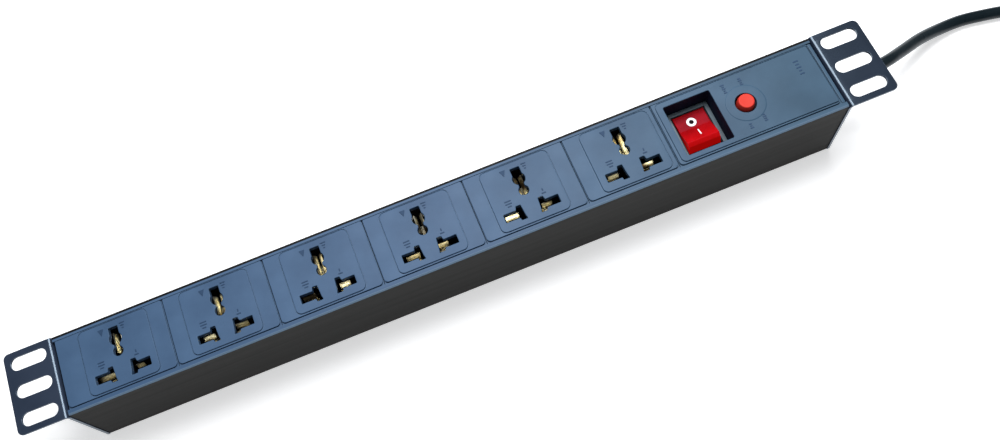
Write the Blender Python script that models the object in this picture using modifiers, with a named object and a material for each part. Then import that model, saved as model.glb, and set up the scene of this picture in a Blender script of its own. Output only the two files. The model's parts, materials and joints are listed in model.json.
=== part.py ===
"""A 1U, 19-inch rack power strip: aluminium channel, six universal socket modules, a switch and a breaker.

Sizes are in millimetres and become metres where a mesh is made. The strip lies on its back: X runs along
it towards the cable, Y up the face as it sits in a rack, Z out of the sockets. Heights are drawn from the
modules' datum plane. The whole is lifted at the end, which puts the origin at the centre of the channel's
back face. Pieces that would touch keep a gap of 0.3 mm.
"""

import math

import bmesh
import bpy
from mathutils import Matrix, Vector

MM = 0.001
GAP = 0.3

# ---------------------------------------------------------------- driving dimensions
RACK_WIDTH = 482.6  # 19 inches over the ears
EAR_HEIGHT = 44.4  # one rack unit, less a little
BODY_LENGTH = 427.2
BODY_WIDTH = 43.4
BODY_DEPTH = 56.0
MODULE_DEPTH = 48.0  # from the modules' datum plane up to the lips
BACK_Z = MODULE_DEPTH - BODY_DEPTH  # the channel's back face, below the datum plane

WALL = 1.5
FLOOR = 1.8
LIP_WIDTH = 2.8
LIP_THICKNESS = 1.6
GROOVE = 2.0  # slot under the lip that holds the covers' flanges
RAIL_REACH = 1.8
RAIL_THICKNESS = 1.2

PORT_Y = 17.0  # screw ports that run along the channel
PORT_ROWS = (BACK_Z + 5.2, 17.5)
PORT_RADIUS = 1.7
PORT_BLOCK = 2.7
PORT_MOUTH = 35  # half the port's open angle, in degrees

SOCKET_COUNT = 6
SOCKET_PITCH = 56.3
FIRST_SOCKET_X = -181.1
COVER_LEFT = -213.0
CONTROL_LEFT = 122.5
CONTROL_RIGHT = 212.2
SEAM = 0.3
COVER_HALF_WIDTH = 18.55
COVER_CORNER = 2.8
FLANGE_HALF_WIDTH = 19.9
FLANGE_LOW, FLANGE_HIGH = 44.7, 46.1
FACE_Z = 47.7
PANEL_Z = 48.1
APERTURE_CUT = (40, 55)  # heights between which the cutters of the face run
PANEL_HALF_LENGTH = 19.0
PANEL_HALF_WIDTH = 17.4
PANEL_CORNER = 3.0
CONTROL_PANEL_CORNER = 2.6
END_STRIP, END_STRIP_Z = 1.2, 47.1  # the low strip beyond the control module's face

BUS_END_X = 125.5
CLIP_LOW, CLIP_HIGH = 24.3, 43.6
LEAF = 0.6
PIN_GAP = 4.4  # clear space between a contact's two leaves, for a pin 4 mm thick
LINE_CLIP_X, LINE_CLIP_Y = 9.9, -10.1
EARTH_CLIP_Y = 6.9
BUS_LIVE_Y, BUS_NEUTRAL_Y = -15.6, -3.2

TRAY_LOW, TRAY_HIGH = 22.0, 44.4
TRAY_HALF_WIDTH = 17.9

SWITCH_X, SWITCH_Y = 141.7, 0.6
WELL_LEFT, WELL_RIGHT = 128.1, 154.1
WELL_DOWN, WELL_UP = -14.5, 15.05
WELL_FLOOR = 33.9
WELL_WALL = 1.2
BEZEL_Z = 36.0
PIVOT_Z = 30.0
ROCKER_RADIUS = 12.6
ROCKER_RIDGE = 45.5  # angle from the rocker's centre line to its ridge
ROCKER_TILT = 15.45
ROCKER_HALF_LENGTH = 8.8
LEVER_TILT = 6.0
LEVER_PIVOT_Z = 20.5
POLE_X = 4.5  # the two poles sit this far either side of the switch's centre
OUTPUT_Y = 7.5

BREAKER_X, BREAKER_Y = 167.8, 0.6
BUTTON_RADIUS = 4.8
BUTTON_HOLE = 5.45
BUTTON_TOP = 50.9
BREAKER_BORE = 5.15
BREAKER_LOW, BREAKER_HIGH = 20.0, 44.2
BREAKER_FLOOR = 26.0

SHEET = 1.5
EAR_TOP = 47.4
BEND_RADIUS = 1.85  # to the middle of the sheet
EAR_CORNER = 3.0
SLOT_LENGTH, SLOT_HEIGHT = 19.6, 7.2
SLOT_X = 228.1
SLOT_PITCH = 15.2

CABLE_RADIUS = 3.4
CABLE_HOLE = 5.8
CABLE_START_X = 204.0
CABLE_Z = 22.0
CORE_RADIUS = 1.0
STUD_X, STUD_Y = 193.0, 9.0

INNER_HALF = BODY_WIDTH / 2 - WALL
LIP_EDGE = BODY_WIDTH / 2 - LIP_WIDTH
LEG_INNER = BODY_LENGTH / 2 + GAP
LEG_OUTER = LEG_INNER + SHEET


# ---------------------------------------------------------------- materials
def material(name, colour, metallic, roughness):
    made = bpy.data.materials.new(name)
    made.use_nodes = True
    shader = made.node_tree.nodes["Principled BSDF"]
    shader.inputs["Base Color"].default_value = (*colour, 1)
    shader.inputs["Metallic"].default_value = metallic
    shader.inputs["Roughness"].default_value = roughness
    made.diffuse_color = (*colour, 1)
    return made


for leftover in list(bpy.data.objects):
    bpy.data.objects.remove(leftover)

PARTS = bpy.data.collections.new("rack_power_strip")
bpy.context.scene.collection.children.link(PARTS)

ANODISED = material("anodised_aluminium", (0.035, 0.036, 0.036), 0.6, 0.45)
FACE_PLASTIC = material("slate_plastic", (0.10, 0.17, 0.27), 0.0, 0.42)
INNER_PLASTIC = material("black_nylon", (0.02, 0.02, 0.022), 0.0, 0.5)
BRACKET_PAINT = material("navy_powder_coat", (0.03, 0.04, 0.09), 0.3, 0.4)
RED_LENS = material("red_lens", (0.65, 0.01, 0.01), 0.0, 0.15)
CORAL = material("coral_plastic", (0.85, 0.08, 0.04), 0.0, 0.35)
BRASS = material("brass", (0.75, 0.55, 0.22), 1.0, 0.25)
STEEL = material("zinc_steel", (0.55, 0.56, 0.58), 1.0, 0.35)
JACKET = material("black_pvc", (0.015, 0.015, 0.017), 0.0, 0.4)
BROWN = material("brown_core", (0.18, 0.07, 0.03), 0.0, 0.45)
BLUE = material("blue_core", (0.03, 0.12, 0.5), 0.0, 0.45)
GREEN_YELLOW = material("green_yellow_core", (0.35, 0.55, 0.05), 0.0, 0.45)
LAMP_GLASS = material("lamp_glass", (0.9, 0.5, 0.3), 0.0, 0.1)


# ---------------------------------------------------------------- shape helpers
def add(name, mesh, finish=None, at=(0, 0, 0)):
    """An object for the mesh, placed at a point given in millimetres."""
    made = bpy.data.objects.new(name, mesh)
    made.location = Vector(at) * MM
    if finish and not mesh.materials:
        mesh.materials.append(finish)
    PARTS.objects.link(made)
    return made


def evaluated_mesh(source, weld=True):
    """The object's mesh with its modifiers applied, and a curve's caps welded. The object is removed."""
    bpy.context.view_layer.update()
    graph = bpy.context.evaluated_depsgraph_get()
    mesh = bpy.data.meshes.new_from_object(source.evaluated_get(graph))
    bpy.data.objects.remove(source)
    if weld:
        outward(mesh, 1e-6)
    return mesh


def outward(mesh, weld_distance=0):
    """The mesh with its faces pointing out, after near vertices are merged if a distance is given."""
    shape = bmesh.new()
    shape.from_mesh(mesh)
    if weld_distance:
        bmesh.ops.remove_doubles(shape, verts=shape.verts, dist=weld_distance)
    bmesh.ops.recalc_face_normals(shape, faces=shape.faces)
    shape.to_mesh(mesh)
    shape.free()
    return mesh


def axes(across, up, along):
    """A matrix that sends the outline's x and y, and the direction it is swept in, to three world axes."""
    return Matrix((across, up, along)).transposed().to_4x4()


SWEEPS = {
    "X": axes((0, 1, 0), (0, 0, 1), (1, 0, 0)),
    "Y": axes((1, 0, 0), (0, 0, 1), (0, 1, 0)),
    "Z": axes((1, 0, 0), (0, 1, 0), (0, 0, 1)),
}


def prism(outline, low, high, along="Z"):
    """A straight solid: a flat outline swept from low to high. Swept along X it is drawn in Y and Z."""
    curve = bpy.data.curves.new("outline", "CURVE")
    curve.dimensions = "2D"
    curve.fill_mode = "BOTH"
    curve.extrude = (high - low) / 2 * MM
    spline = curve.splines.new("POLY")
    spline.points.add(len(outline) - 1)
    for point, (across, up) in zip(spline.points, outline):
        point.co = (across * MM, up * MM, 0, 1)
    spline.use_cyclic_u = True
    mesh = evaluated_mesh(add("outline", curve))
    lift = Matrix.Translation((0, 0, (low + high) / 2 * MM))
    mesh.transform(SWEEPS[along] @ lift)
    return outward(mesh)


def box(low, high):
    """A box between two corners."""
    shape = bmesh.new()
    bmesh.ops.create_cube(shape, size=1)
    sides = [b - a for a, b in zip(low, high)]
    centre = [(a + b) / 2 for a, b in zip(low, high)]
    bmesh.ops.scale(shape, vec=Vector(sides) * MM, verts=shape.verts)
    bmesh.ops.translate(shape, vec=Vector(centre) * MM, verts=shape.verts)
    mesh = bpy.data.meshes.new("box")
    shape.to_mesh(mesh)
    shape.free()
    return mesh


def turned(profile, steps=20, axis="Z", at=(0, 0, 0)):
    """A turned solid. The profile is (radius, height) down its outer side and back to the axis."""
    outline = bpy.data.meshes.new("turned")
    points = [(radius * MM, 0, height * MM) for radius, height in profile]
    closed = profile[0][0] > 0
    ends = [(i, i + 1) for i in range(len(points) - 1)] + ([(len(points) - 1, 0)] if closed else [])
    outline.from_pydata(points, ends, [])
    piece = add("turned", outline)
    screw = piece.modifiers.new("turn", "SCREW")
    screw.steps = screw.render_steps = steps
    screw.use_merge_vertices = True
    screw.merge_threshold = 1e-5
    mesh = evaluated_mesh(piece)
    if axis == "X":
        mesh.transform(Matrix.Rotation(math.radians(90), 4, "Y"))
    mesh.transform(Matrix.Translation(Vector(at) * MM))
    return mesh


def moved(mesh, by):
    """A copy of the mesh, shifted."""
    copy = mesh.copy()
    copy.transform(Matrix.Translation(Vector(by) * MM))
    return copy


def combined(mesh, others, operation, solver="EXACT"):
    """The mesh joined to the others, cut by them, or kept only where they meet."""
    target = add("target", mesh)
    tools = [add("tool", other) for other in others]
    for tool in tools:
        step = target.modifiers.new("step", "BOOLEAN")
        step.operation = operation
        step.solver = solver
        step.object = tool
    made = evaluated_mesh(target, weld=False)
    for tool in tools:
        bpy.data.objects.remove(tool)
    return made


def joined(mesh, *others):
    return combined(mesh, others, "UNION")


def cut(mesh, *others):
    return combined(mesh, others, "DIFFERENCE")


def arc(centre, radius, start, end, steps):
    """Points on a circle, from one angle in degrees to another."""
    turns = [math.radians(start + (end - start) * i / steps) for i in range(steps + 1)]
    return [(centre[0] + radius * math.cos(a), centre[1] + radius * math.sin(a)) for a in turns]


def circle(centre, radius, steps=20):
    return arc(centre, radius, 0, 360, steps)[:-1]


def rectangle(left, right, low, high):
    return [(left, low), (right, low), (right, high), (left, high)]


def rounded(left, right, low, high, radius, steps=4):
    return (
        arc((right - radius, low + radius), radius, -90, 0, steps)
        + arc((right - radius, high - radius), radius, 0, 90, steps)
        + arc((left + radius, high - radius), radius, 90, 180, steps)
        + arc((left + radius, low + radius), radius, 180, 270, steps)
    )


def ribbon(path, thickness):
    """The outline of a strip whose middle follows the path, with mitred corners."""
    sides = ([], [])
    for i, point in enumerate(path):
        here = Vector(point)
        before = (here - Vector(path[i - 1])).normalized() if i else None
        after = (Vector(path[i + 1]) - here).normalized() if i + 1 < len(path) else None
        before, after = before or after, after or before
        normals = [Vector((-d.y, d.x)) for d in (before, after)]
        mitre = (normals[0] + normals[1]).normalized()
        reach = thickness / 2 / mitre.dot(normals[0])
        sides[0].append(tuple(here + mitre * reach))
        sides[1].append(tuple(here - mitre * reach))
    return sides[0] + sides[1][::-1]


def smooth_path(knots, steps=6):
    """A Catmull-Rom path through the knots."""
    points = [Vector(knot) for knot in knots]
    ends = [2 * points[0] - points[1]] + points + [2 * points[-1] - points[-2]]
    path = []
    for a, b, c, d in zip(ends, ends[1:], ends[2:], ends[3:]):
        for i in range(steps):
            t = i / steps
            bend = (2 * b) + (c - a) * t + (2 * a - 5 * b + 4 * c - d) * t**2
            path.append((bend + (3 * b - a - 3 * c + d) * t**3) / 2)
    return path + [points[-1]]


def wire(name, path, radius, finish, sides=2):
    """A round wire along the path, left as a curve with filled caps."""
    curve = bpy.data.curves.new(name, "CURVE")
    curve.dimensions = "3D"
    curve.bevel_depth = radius * MM
    curve.bevel_resolution = sides
    curve.use_fill_caps = True
    spline = curve.splines.new("POLY")
    spline.points.add(len(path) - 1)
    for point, place in zip(spline.points, path):
        point.co = (*(Vector(place) * MM), 1)
    curve.materials.append(finish)
    return add(name, curve)


def coil_path(centre, radius, low, high, turns, steps=8):
    """Points up a helix."""
    count = turns * steps
    angles = [2 * math.pi * i / steps for i in range(count + 1)]
    rise = (high - low) / count
    return [
        (centre[0] + radius * math.cos(a), centre[1] + radius * math.sin(a), low + rise * i)
        for i, a in enumerate(angles)
    ]


def round_edges(made):
    """Shades the round faces smooth and keeps the sharp edges."""
    if made.type == "MESH":
        made.data.shade_smooth()
        made.data.set_sharp_from_angle(angle=math.radians(35))


# ---------------------------------------------------------------- housing
def port_outline(height):
    """One screw port down the inside of the +Y wall: a block with a round channel that opens inwards."""
    face = PORT_Y - PORT_RADIUS * math.cos(math.radians(PORT_MOUTH))
    top, bottom = height + PORT_BLOCK, height - PORT_BLOCK
    channel = arc((PORT_Y, height), PORT_RADIUS, 180 - PORT_MOUTH, PORT_MOUTH - 180, 10)
    points = [(INNER_HALF, top), (face, top)] + channel
    if bottom - (BACK_Z + FLOOR) > 1:
        return points + [(face, bottom), (INNER_HALF, bottom)]
    return points + [(face, BACK_Z + FLOOR)]


def housing_profile():
    """The channel: open at the front between two lips, with grooves for the covers and four screw ports."""
    top = MODULE_DEPTH
    outer = BODY_WIDTH / 2
    groove_top = top - LIP_THICKNESS
    rail_top = groove_top - GROOVE
    rail_low = rail_top - RAIL_THICKNESS
    rail_edge = INNER_HALF - RAIL_REACH
    half = [(outer - 0.8, BACK_Z), (outer, BACK_Z + 0.8), (outer, top - 0.7), (outer - 0.7, top), (LIP_EDGE, top)]
    half += [(LIP_EDGE, groove_top), (INNER_HALF, groove_top), (INNER_HALF, rail_top)]
    half += [(rail_edge, rail_top), (rail_edge, rail_low), (INNER_HALF, rail_low)]
    for height in reversed(PORT_ROWS):
        half += port_outline(height)
    outline = half + [(-y, z) for y, z in reversed(half)]
    mesh = prism(outline, -BODY_LENGTH / 2, BODY_LENGTH / 2, "X")
    stud_hole = turned([(0, FLOOR + 1), (2.3, FLOOR + 1), (2.3, 1.2), (4.4, -0.9), (0, -0.9)], 16)
    add("housing_profile", cut(mesh, moved(stud_hole, (STUD_X, STUD_Y, BACK_Z))), ANODISED)


# ---------------------------------------------------------------- socket modules
def earth_aperture():
    """A rectangular pin slot that opens into a round hole, and a smaller round hole below it."""
    slot = prism(rectangle(-2.6, 2.6, 8.0, 14.5), *APERTURE_CUT)
    large = prism(circle((0, 8.0), 3.45), *APERTURE_CUT)
    small = prism(circle((0, 1.1), 2.75), *APERTURE_CUT)
    neck = prism(rectangle(-1.5, 1.5, 2.0, 7.0), *APERTURE_CUT)
    return joined(slot, large, neck, small)


def line_aperture(side):
    """The neutral (side -1) or live (side +1) opening: a flat-pin slot with a leaning blade slot beside it."""
    outline = [(15.1, -7.7), (8.0, -7.85), (7.5, -5.7), (4.8, -5.7), (4.3, -11.9), (3.8, -13.9)]
    outline += [(7.1, -13.9), (7.4, -12.35), (15.1, -12.35)]
    points = [(side * x, y) for x, y in outline]
    return prism(points if side < 0 else points[::-1], *APERTURE_CUT)


def cover_shell(left, right, margin=0):
    """A module's front: a flange for the channel's grooves and a raised face with round corners."""
    base = rectangle(left, right + margin, -FLANGE_HALF_WIDTH, FLANGE_HALF_WIDTH)
    flange = prism(base, FLANGE_LOW, FLANGE_HIGH)
    face = rounded(left, right, -COVER_HALF_WIDTH, COVER_HALF_WIDTH, COVER_CORNER)
    return joined(flange, prism(face, FLANGE_HIGH - 0.4, FACE_Z))


def socket_cover(left, right):
    panel = rounded(
        -PANEL_HALF_LENGTH, PANEL_HALF_LENGTH, -PANEL_HALF_WIDTH, PANEL_HALF_WIDTH, PANEL_CORNER
    )
    shell = joined(cover_shell(left, right), prism(panel, FACE_Z - 0.5, PANEL_Z))
    return cut(shell, earth_aperture(), line_aperture(-1), line_aperture(1))


def socket_tray(left, right):
    """The moulded tray behind a cover, with a pocket for each contact and channels for the bus bars."""
    top = TRAY_HIGH + 1
    low = TRAY_LOW + 1.1
    block = box((left, -TRAY_HALF_WIDTH, TRAY_LOW), (right, TRAY_HALF_WIDTH, TRAY_HIGH))
    line_low, line_high = LINE_CLIP_Y - 4.2, LINE_CLIP_Y + 4.6
    pockets = [
        box((side * LINE_CLIP_X - 6.4, line_low, low), (side * LINE_CLIP_X + 6.4, line_high, top))
        for side in (-1, 1)
    ]
    pockets.append(box((-4.4, -1.9, low), (4.4, 15.8, top)))
    channels = [
        box((left - 1, y - reach, low), (right + 1, y + reach, top))
        for y, reach in ((BUS_LIVE_Y, 0.9), (BUS_NEUTRAL_Y, 0.9), (EARTH_CLIP_Y, 3.1))
    ]
    for side, bus_y in ((-1, BUS_NEUTRAL_Y), (1, BUS_LIVE_Y)):
        near, far = sorted((bus_y, LINE_CLIP_Y))
        channels.append(box((side * LINE_CLIP_X - 3.4, near, low), (side * LINE_CLIP_X + 3.4, far, top)))
    return cut(block, *pockets, *channels)


def leaf_path(middle):
    """Half of a spring contact, from its base up one leaf: in, and out again at the mouth."""
    inner = PIN_GAP / 2 + LEAF / 2
    return [(middle, CLIP_LOW + LEAF / 2), (middle + inner + 0.5, CLIP_LOW + LEAF / 2)] + [
        (middle + inner + 0.5, CLIP_LOW + 6),
        (middle + inner, CLIP_HIGH - 4),
        (middle + inner + 0.8, CLIP_HIGH),
    ]


def contact(middle, low, high, along):
    """A spring contact with two leaves."""
    right = leaf_path(middle)[1:]
    left = [(2 * middle - across, up) for across, up in reversed(right)]
    return prism(ribbon(left + right, LEAF), low, high, along)


def line_bus(side, bus_y):
    """A bus bar on edge, with a tab and a spring contact for each socket."""
    bar = box((FIRST_SOCKET_X - 16, bus_y - 0.4, 23.4), (BUS_END_X, bus_y + 0.4, 27.4))
    added = []
    for i in range(SOCKET_COUNT):
        middle = FIRST_SOCKET_X + i * SOCKET_PITCH + side * LINE_CLIP_X
        added.append(contact(LINE_CLIP_Y, middle - 5.8, middle + 5.8, "X"))
        near, far = sorted((bus_y, LINE_CLIP_Y + math.copysign(2.4, bus_y - LINE_CLIP_Y)))
        added.append(box((middle - 3, near, CLIP_LOW + 0.05), (middle + 3, far, CLIP_LOW + LEAF - 0.05)))
    return joined(bar, *added)


def earth_bus():
    """A flat bus bar under six spring contacts whose leaves stand either side of the earth pins."""
    bar = box(
        (FIRST_SOCKET_X - 6, EARTH_CLIP_Y - 2.5, 23.5), (BUS_END_X, EARTH_CLIP_Y + 2.5, CLIP_LOW + 0.3)
    )
    clips = []
    for i in range(SOCKET_COUNT):
        middle = FIRST_SOCKET_X + i * SOCKET_PITCH
        clips.append(contact(middle, EARTH_CLIP_Y - 8.3, EARTH_CLIP_Y + 8.3, "Y"))
    return joined(bar, *clips)


def socket_modules():
    """Six covers and six trays. The four in the middle are alike, and the end ones are cut to length."""
    half = SOCKET_PITCH / 2 - SEAM / 2
    last_x = FIRST_SOCKET_X + (SOCKET_COUNT - 1) * SOCKET_PITCH
    ends = {0: (COVER_LEFT - FIRST_SOCKET_X, half), SOCKET_COUNT - 1: (-half, CONTROL_LEFT - SEAM - last_x)}
    middle_cover = socket_cover(-half, half)
    middle_tray = socket_tray(-half, half)
    for i in range(SOCKET_COUNT):
        place = (FIRST_SOCKET_X + i * SOCKET_PITCH, 0, 0)
        cover, tray = middle_cover, middle_tray
        if i in ends:
            cover, tray = socket_cover(*ends[i]), socket_tray(*ends[i])
        add(f"socket_cover_{i + 1}", cover, FACE_PLASTIC, place)
        add(f"socket_tray_{i + 1}", tray, INNER_PLASTIC, place)
    add("live_bus_bar", line_bus(1, BUS_LIVE_Y), BRASS)
    add("neutral_bus_bar", line_bus(-1, BUS_NEUTRAL_Y), BRASS)
    add("earth_bus_bar", earth_bus(), BRASS)


# ---------------------------------------------------------------- control module
def control_cover():
    """The cover with the deep well for the switch and the hole for the reset button."""
    shell = cover_shell(CONTROL_LEFT, CONTROL_RIGHT, END_STRIP)
    strip = rectangle(CONTROL_RIGHT - 1, CONTROL_RIGHT + END_STRIP, -COVER_HALF_WIDTH, COVER_HALF_WIDTH)
    shell = joined(shell, prism(strip, FLANGE_HIGH - 0.4, END_STRIP_Z))
    outline = rounded(
        CONTROL_LEFT + 2, CONTROL_LEFT + 58, -PANEL_HALF_WIDTH, PANEL_HALF_WIDTH, CONTROL_PANEL_CORNER
    )
    panel = prism(outline, FACE_Z - 0.5, PANEL_Z)
    ring = turned([(0, PANEL_Z + 0.3), (9.7, PANEL_Z + 0.3), (10.2, PANEL_Z - 0.2), (0, PANEL_Z - 0.2)], 32)
    tub = box(
        (WELL_LEFT - WELL_WALL, WELL_DOWN - WELL_WALL, WELL_FLOOR - WELL_WALL),
        (WELL_RIGHT + WELL_WALL, WELL_UP + WELL_WALL, FLANGE_HIGH - 0.3),
    )
    well = box((WELL_LEFT, WELL_DOWN, WELL_FLOOR), (WELL_RIGHT, WELL_UP, APERTURE_CUT[1]))
    switch_hole = box((SWITCH_X - 11.3, SWITCH_Y - 13.6, 30), (SWITCH_X + 11.3, SWITCH_Y + 13.6, 36))
    button_hole = prism(circle((BREAKER_X, BREAKER_Y), BUTTON_HOLE, 32), *APERTURE_CUT)
    shell = joined(shell, panel, moved(ring, (BREAKER_X, BREAKER_Y, 0)), tub)
    add("control_cover", cut(shell, well, switch_hole, button_hole), FACE_PLASTIC)


def switch_housing():
    """The switch's body: a bezel, side walls, trunnion holes and a floor slotted for four terminals."""
    bezel = box(
        (WELL_LEFT + GAP - SWITCH_X, WELL_DOWN + GAP - SWITCH_Y, WELL_FLOOR + GAP),
        (WELL_RIGHT - GAP - SWITCH_X, WELL_UP - GAP - SWITCH_Y, BEZEL_Z),
    )
    body = box((-11, -13.3, 17), (11, 13.3, WELL_FLOOR + 0.6))
    reach = ROCKER_HALF_LENGTH + GAP
    swing = prism(circle((0, PIVOT_Z), ROCKER_RADIUS + GAP, 40), -reach, reach, "X")
    above = box((-20, -20, PIVOT_Z + 3), (20, 20, PIVOT_Z + 20))
    swing = combined(swing, [above], "INTERSECT")
    cavity = box((-reach, -12.3, 18.5), (reach, 12.3, PIVOT_Z + 3.5))
    trunnions = prism(circle((0, PIVOT_Z), 1.8, 16), -20, 20, "X")
    slots = [
        box((side * POLE_X - 2.7, y - 0.7, 15), (side * POLE_X + 2.7, y + 0.7, 20))
        for side in (-1, 1)
        for y in (0, OUTPUT_Y)
    ]
    mesh = cut(joined(bezel, body), swing, cavity, trunnions, *slots)
    add("switch_housing", mesh, INNER_PLASTIC, (SWITCH_X, SWITCH_Y, 0))


def rocker_mesh():
    """The rocker about its pivot: two wings with a shallow valley between, a bored block and trunnions."""
    ridge = arc((0, 0), ROCKER_RADIUS, 90 - ROCKER_RIDGE, 32, 3)
    side = ridge[-1][0]
    half = ridge + [(side, 1), (4.5, 1), (4.5, -3)]
    outline = [(0, 7.2)] + half + [(-y, z) for y, z in reversed(half)]
    body = prism(outline, -ROCKER_HALF_LENGTH, ROCKER_HALF_LENGTH, "X")
    trunnions = prism(circle((0, 0), 1.5, 12), -10.7, 10.7, "X")
    pockets = [box((-7.4, side * 7.35 - 2.05, -1), (7.4, side * 7.35 + 2.05, 5.2)) for side in (-1, 1)]
    bores = [prism(circle((side * POLE_X, 0), 1.8, 12), -5, 3.6) for side in (-1, 1)]
    # EXACT leaves open edges where the trunnions meet the body's triangulated ends.
    body = combined(body, [trunnions], "UNION", "MANIFOLD")
    return combined(body, pockets + bores, "DIFFERENCE", "MANIFOLD")


def rocker_group():
    """The rocker and what rides in it, parented to an empty on the pivot and tilted to off."""
    pivot = bpy.data.objects.new("rocker_pivot", None)
    pivot.location = Vector((SWITCH_X, SWITCH_Y, PIVOT_Z)) * MM
    pivot.rotation_euler.x = math.radians(-ROCKER_TILT)
    PARTS.objects.link(pivot)
    riders = [add("switch_rocker", rocker_mesh(), RED_LENS)]
    plunger = turned([(0, -0.4), (1.4, -0.4), (1.4, -7.8), (0.8, -8.5), (0, -8.5)], 12)
    for side, pole in ((-1, "live"), (1, "neutral")):
        riders.append(add(f"plunger_{pole}", plunger, INNER_PLASTIC, (side * POLE_X, 0, 0)))
        coil = coil_path((side * POLE_X, 0), 1.1, 0.25, 3.1, 4)
        riders.append(wire(f"plunger_spring_{pole}", coil, 0.2, STEEL, 0))
    glass = [(0, 6.4), (0.9, 6.1), (1.6, 5.2), (1.7, -4.2), (1.4, -6.2), (0, -6.4)]
    lamp = turned(glass, 12, "X")
    riders.append(add("neon_lamp", lamp, LAMP_GLASS, (0, -7.35, 2.6)))
    for rider in riders:
        rider.parent = pivot


def contact_lever(side, pole):
    """A see-saw contact on its own pivot, tilted to off."""
    lever = prism(rectangle(-1.8, 1.8, -9, 9), 0.05, 0.85)
    pip = turned([(0, 0.3), (1.2, 0.3), (1.2, -0.3), (0.7, -0.45), (0, -0.45)], 10)
    made = add(
        f"contact_lever_{pole}",
        joined(lever, moved(pip, (0, OUTPUT_Y, 0))),
        BRASS,
        (SWITCH_X + side * POLE_X, SWITCH_Y, LEVER_PIVOT_Z),
    )
    made.rotation_euler.x = math.radians(LEVER_TILT)


def switch_terminal(name, side, y, top):
    """A flat blade through the switch's floor."""
    blade = box((-2.4, -0.4, 9.5), (2.4, 0.4, 18.2))
    neck = box((-1.8, -0.4, 18), (1.8, 0.4, top))
    add(name, joined(blade, neck), BRASS, (SWITCH_X + side * POLE_X, SWITCH_Y + y, 0))


def switch():
    switch_housing()
    rocker_group()
    for side, pole in ((-1, "live"), (1, "neutral")):
        contact_lever(side, pole)
        switch_terminal(f"switch_terminal_in_{pole}", side, 0, LEVER_PIVOT_Z - 0.35)
        switch_terminal(f"switch_terminal_out_{pole}", side, OUTPUT_Y, 18.9)


def breaker():
    """The thermal overload breaker: case, reset button on its spring, moving contact and two terminals."""
    at = (BREAKER_X, BREAKER_Y, 0)
    case = box((-7, -14.5, BREAKER_LOW), (7, 14.5, BREAKER_HIGH))
    bore = prism(circle((0, 0), BREAKER_BORE, 24), BREAKER_FLOOR, 50)
    slot = box((-2.1, -2.3, 18), (2.1, 2.3, 28))
    channel = box((-2.6, -9, 18), (2.6, 9, 22.2))
    add("breaker_case", cut(case, bore, slot, channel), INNER_PLASTIC, at)

    crown = arc((BUTTON_RADIUS - 1.2, BUTTON_TOP - 1.2), 1.2, 90, 0, 3)
    button = [(0, BUTTON_TOP)] + crown + [(BUTTON_RADIUS, 38), (1.7, 38), (1.7, 29), (0, 29)]
    add("reset_button", turned(button, 28), CORAL, at)
    disc = turned([(0, 28.7), (2.2, 28.7), (2.2, 27.9), (0, 27.9)], 16)
    add("breaker_contact", disc, BRASS, at)
    coil = coil_path((BREAKER_X, BREAKER_Y), 3.5, BREAKER_FLOOR + 0.7, 37.3, 5, 10)
    wire("reset_spring", coil, 0.35, STEEL, 0)

    for side, name in ((1, "line"), (-1, "load")):
        path = [(side * 8, 12), (side * 8, 21), (side * 1.4, 21), (side * 1.4, 27.3)]
        add(f"breaker_terminal_{name}", prism(ribbon(path, 0.8), -1.7, 1.7, "X"), BRASS, at)


# ---------------------------------------------------------------- ends
def end_bracket(side):
    """An L of steel sheet: a leg on the channel's end and an ear with three slots."""
    leg_x, ear_z = LEG_INNER + SHEET / 2, EAR_TOP - SHEET / 2
    turn = arc((leg_x + BEND_RADIUS, ear_z - BEND_RADIUS), BEND_RADIUS, 180, 90, 5)
    path = [(leg_x, BACK_Z + GAP)] + turn + [(RACK_WIDTH / 2 + 1, ear_z)]
    half = EAR_HEIGHT / 2
    sheet = prism([(side * x, z) for x, z in ribbon(path, SHEET)], -half, half, "Y")
    blank = rounded(150, RACK_WIDTH / 2, -half, half, EAR_CORNER, 5)
    sheet = combined(sheet, [prism([(side * x, y) for x, y in blank], BACK_Z - 1, 60)], "INTERSECT")
    straight = SLOT_LENGTH / 2 - SLOT_HEIGHT / 2
    cutters = []
    for row in (-1, 0, 1):
        y = row * SLOT_PITCH
        outline = arc((SLOT_X + straight, y), SLOT_HEIGHT / 2, -90, 90, 8)
        outline += arc((SLOT_X - straight, y), SLOT_HEIGHT / 2, 90, 270, 8)
        cutters.append(prism([(side * x, v) for x, v in outline], 40, 52))
    low, high = sorted((side * (LEG_INNER - 2), side * (LEG_OUTER + 2)))
    for y in (-PORT_Y, PORT_Y):
        for z in PORT_ROWS:
            cutters.append(prism(circle((y, z), PORT_RADIUS, 16), low, high, "X"))
    if side > 0:
        cutters.append(prism(circle((0, CABLE_Z), CABLE_HOLE, 24), low, high, "X"))
    return cut(sheet, *cutters)


def screw_mesh():
    """A pan-head screw along X, with its head's seat at x = 0 and a cross recess."""
    dome = arc((1.0, -0.2), 2.0, 80, 0, 3)
    profile = [(0, 1.9)] + [(r, h + 0.1) for r, h in dome]
    profile += [(3.0, 0), (1.35, 0), (1.35, -8.4), (0.8, -9.2), (0, -9.2)]
    body = turned(profile, 12, "X")
    recess = [box((0.9, -a, -b), (3, a, b)) for a, b in ((1.5, 0.35), (0.35, 1.5))]
    return cut(body, *recess)


def ends():
    """Both brackets and their screws, four to an end."""
    add("end_bracket_left", end_bracket(-1), BRACKET_PAINT)
    add("end_bracket_right", end_bracket(1), BRACKET_PAINT)
    mesh = screw_mesh()
    for side, end in ((-1, "left"), (1, "right")):
        number = 0
        for y in (-PORT_Y, PORT_Y):
            for z in PORT_ROWS:
                number += 1
                made = add(f"bracket_screw_{end}_{number}", mesh, STEEL, (side * (LEG_OUTER + GAP), y, z))
                made.rotation_euler.z = 0 if side > 0 else math.pi


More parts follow.
